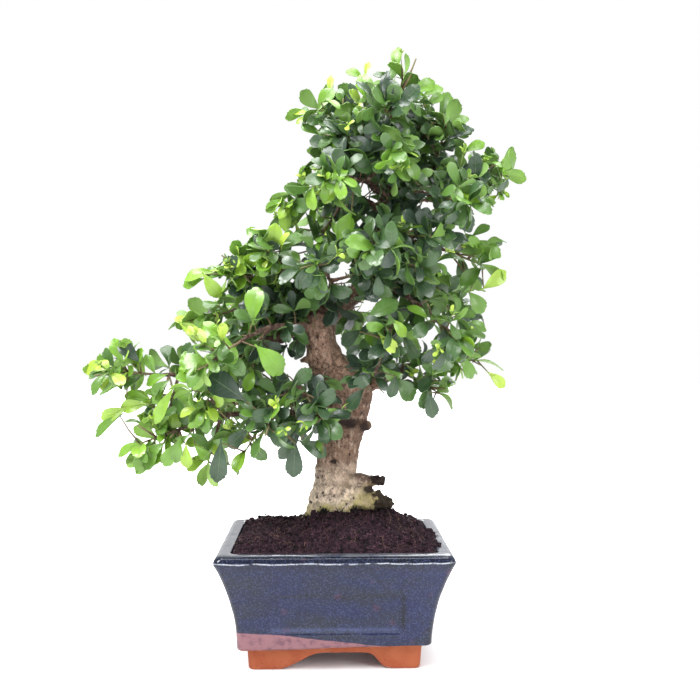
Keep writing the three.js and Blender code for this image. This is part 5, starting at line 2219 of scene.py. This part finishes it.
@dataclass
class Canopy:
    """All the leaves."""

    skin: LeafSkin
    twig: TwigSkin
    seats: Sequence[tuple[str, Seat]]

    def build(self) -> None:
        """Makes the foliage's pieces."""
        large, small = LeafMaker(LeafShape()), LeafMaker(SMALL_LEAF)
        materials = (self.skin.make(), self.twig.make())
        for number, (node, seat) in enumerate(self.seats):
            dice = Dice(501 + 131 * number)
            spray = Spray(large, small, seat.branch.slot, dice, node=node, number=number, seat=seat)
            spray.build(materials)
        for number, branch in enumerate(BRANCHES):
            spots = [0.1 + 0.1 * step for step in range(9)]
            nodes = [(branch.point(t), branch.tangent(t), mix(branch.thick, BRANCH_TIP, t)) for t in spots]
            leaves = OldWoodLeaves(large, small, Slot.DARK, Dice(9001 + 77 * number))
            leaves.build(branch.name, nodes, materials)
        rows = catmull(LEADER, 3)
        nodes = [
            (Vector(row[:3]), (Vector(after[:3]) - Vector(row[:3])).normalized(), row[3])
            for row, after in zip(rows[2:-1], rows[3:])
        ]
        OldWoodLeaves(large, small, Slot.DARK, Dice(4411), leaves=8).build("leader", nodes, materials)
        holds = [branch.point(step / 12) for branch in BRANCHES for step in range(4, 13)]
        for _, seat in self.seats:
            start, end = seat.ends()
            holds += [start.lerp(end, share) for share in (0.3, 0.6, 0.95)]
        LoneLeaves(large, small, Slot.BRIGHT, Dice(88)).build(materials, holds)
        for maker in (large, small):
            bpy.data.meshes.remove(maker.mesh)


@dataclass
class Studio:
    """The white sweep, the lights and the camera."""

    floor_half: float = 4.0
    backdrop: float = 0.4
    floor_colour: Colour = (0.86, 0.86, 0.87)
    camera_place: Triple = (-4.4, -800.3, 286.0)
    yaw: float = 1.34
    pitch: float = 1.04
    focal_pixels: float = 884.0
    frame_pixels: float = 700.0
    sensor: float = 36.0

    def build(self, effects: SharedEffects) -> None:
        """Sets up the floor, lights, surroundings and camera.

        Args:
            effects: The shared node groups.
        """
        self.add_floor(effects)
        self.add_world()
        self.add_light("key", (-900, -800, 1500), (700, 700), 40.0)
        self.add_light("fill", (1100, -1000, 900), (700, 700), 14.0)
        self.add_light("front", (0, -1700, 380), (2200, 110), 6.0)
        self.add_light("top", (0, 100, 1700), (1200, 1200), 32.0)
        self.add_light("back", (200, 1200, 1000), (900, 900), 12.0)
        self.add_camera()

    def add_floor(self, effects: SharedEffects) -> None:
        """Adds the floor."""
        bm = bmesh.new()
        bmesh.ops.create_grid(bm, x_segments=2, y_segments=2, size=self.floor_half)
        floor = link("floor", to_mesh("floor", bm))
        floor.data.materials.append(Sweep("floor", effects, self.floor_colour).make())

    def add_world(self) -> None:
        """Makes the surroundings white to the camera and soft grey to the glaze."""
        world = bpy.data.worlds.new("studio")
        world.use_nodes = True
        world.node_tree.nodes.clear()
        graph = Graph(world.node_tree)
        direction = graph.node("ShaderNodeTexCoord").outputs["Generated"]
        _, depth, rise = graph.axes(direction)
        lean = graph.plus(depth, graph.times(rise, 0.6))
        soft = graph.ramp(graph.math("MULTIPLY_ADD", lean, 0.5), [
            (0.0, (0.31, 0.32, 0.34)), (0.45, (0.41, 0.42, 0.44)), (0.9, (0.85, 0.86, 0.88)),
        ])
        shown = graph.node("ShaderNodeLightPath").outputs["Is Camera Ray"]
        colour = graph.blend(shown, soft, (1.0, 1.0, 1.0))
        behind = graph.times(graph.step(depth, 0.5, 0.95), graph.minus(1.0, shown))
        strength = graph.plus(1.0, graph.times(behind, self.backdrop))
        background = graph.node("ShaderNodeBackground", {"Color": colour, "Strength": strength}).outputs[0]
        graph.node("ShaderNodeOutputWorld", {"Surface": background})
        bpy.context.scene.world = world

    def add_light(self, name: str, place: Triple, size: tuple[float, float], power: float) -> None:
        """Adds a soft light that faces the tree.

        Args:
            name: The light's name.
            place: Where it hangs, in millimetres from the middle of the tray's footprint.
            size: Its width and height, in millimetres.
            power: Its power in watts.
        """
        light = bpy.data.lights.new(name, "AREA")
        light.shape = "RECTANGLE"
        light.size, light.size_y = (side * MM for side in size)
        light.energy = power
        lamp = link(name, light)
        lamp.location = TO_FRAME @ Vector(place)
        aim = TO_FRAME @ Vector((0, 0, 250))
        lamp.rotation_euler = (aim - lamp.location).to_track_quat("-Z", "Y").to_euler()

    def add_camera(self) -> None:
        """Adds the camera, which stands where the photographer's did."""
        camera = bpy.data.cameras.new("camera")
        camera.sensor_width = self.sensor
        camera.lens = self.sensor * self.focal_pixels / self.frame_pixels
        camera.clip_end = 50.0
        stand = link("camera", camera)
        stand.location = TO_FRAME @ Vector(self.camera_place)
        stand.rotation_euler = (math.radians(90 - self.pitch), 0.0, math.radians(-self.yaw))
        bpy.context.scene.camera = stand


def main() -> None:
    """Builds the tray, the soil, the wood, the foliage and the studio."""
    # Without a seed of its own, noise_vector takes one from the clock
    noise.seed_set(NOISE_SEED)
    effects = SharedEffects()
    ground = Ground()
    tray = Tray(TrayGlaze("glazed_clay", effects))
    tray.build()
    straw = TwoTone("straw", effects, linear(84, 56, 50), linear(150, 114, 90), (9, 0.5, 0.1), (0.4, 0.1))
    Soil(Peat("peat", effects), straw, ground, tray).build()
    moss = TwoTone("moss", effects, linear(24, 24, 19), linear(66, 66, 38), (4, 0.34, 0.12), (0.5, 0.2), 0.9)
    MossRing(moss, ground).build()
    seats = list(Skeleton().seats())
    forks = [(seat.start, seat.foot) for _, seat in seats if (seat.foot - seat.start).length > 1]
    Wood(Bark("bark", effects), ground, forks).build()
    Canopy(LeafSkin("leaf", effects), TwigSkin("young_twig", effects), seats).build()
    black = linear(26, 28, 26)
    worn = tuple(0.9 * level for level in black)
    plastic = TwoTone("drain_mesh", effects, black, worn, (40, 0.5, 0.3), (0.6, 0.1), 0.6).make()
    for node in ("drain_screen_left", "drain_screen_right"):
        screen = bpy.data.objects[node].data
        screen.materials.clear()
        screen.materials.append(plastic)
    Studio().build(effects)
    bpy.context.scene.view_settings.view_transform = "Standard"


if __name__ == "__main__":
    logging.basicConfig(level=logging.INFO)
    main()
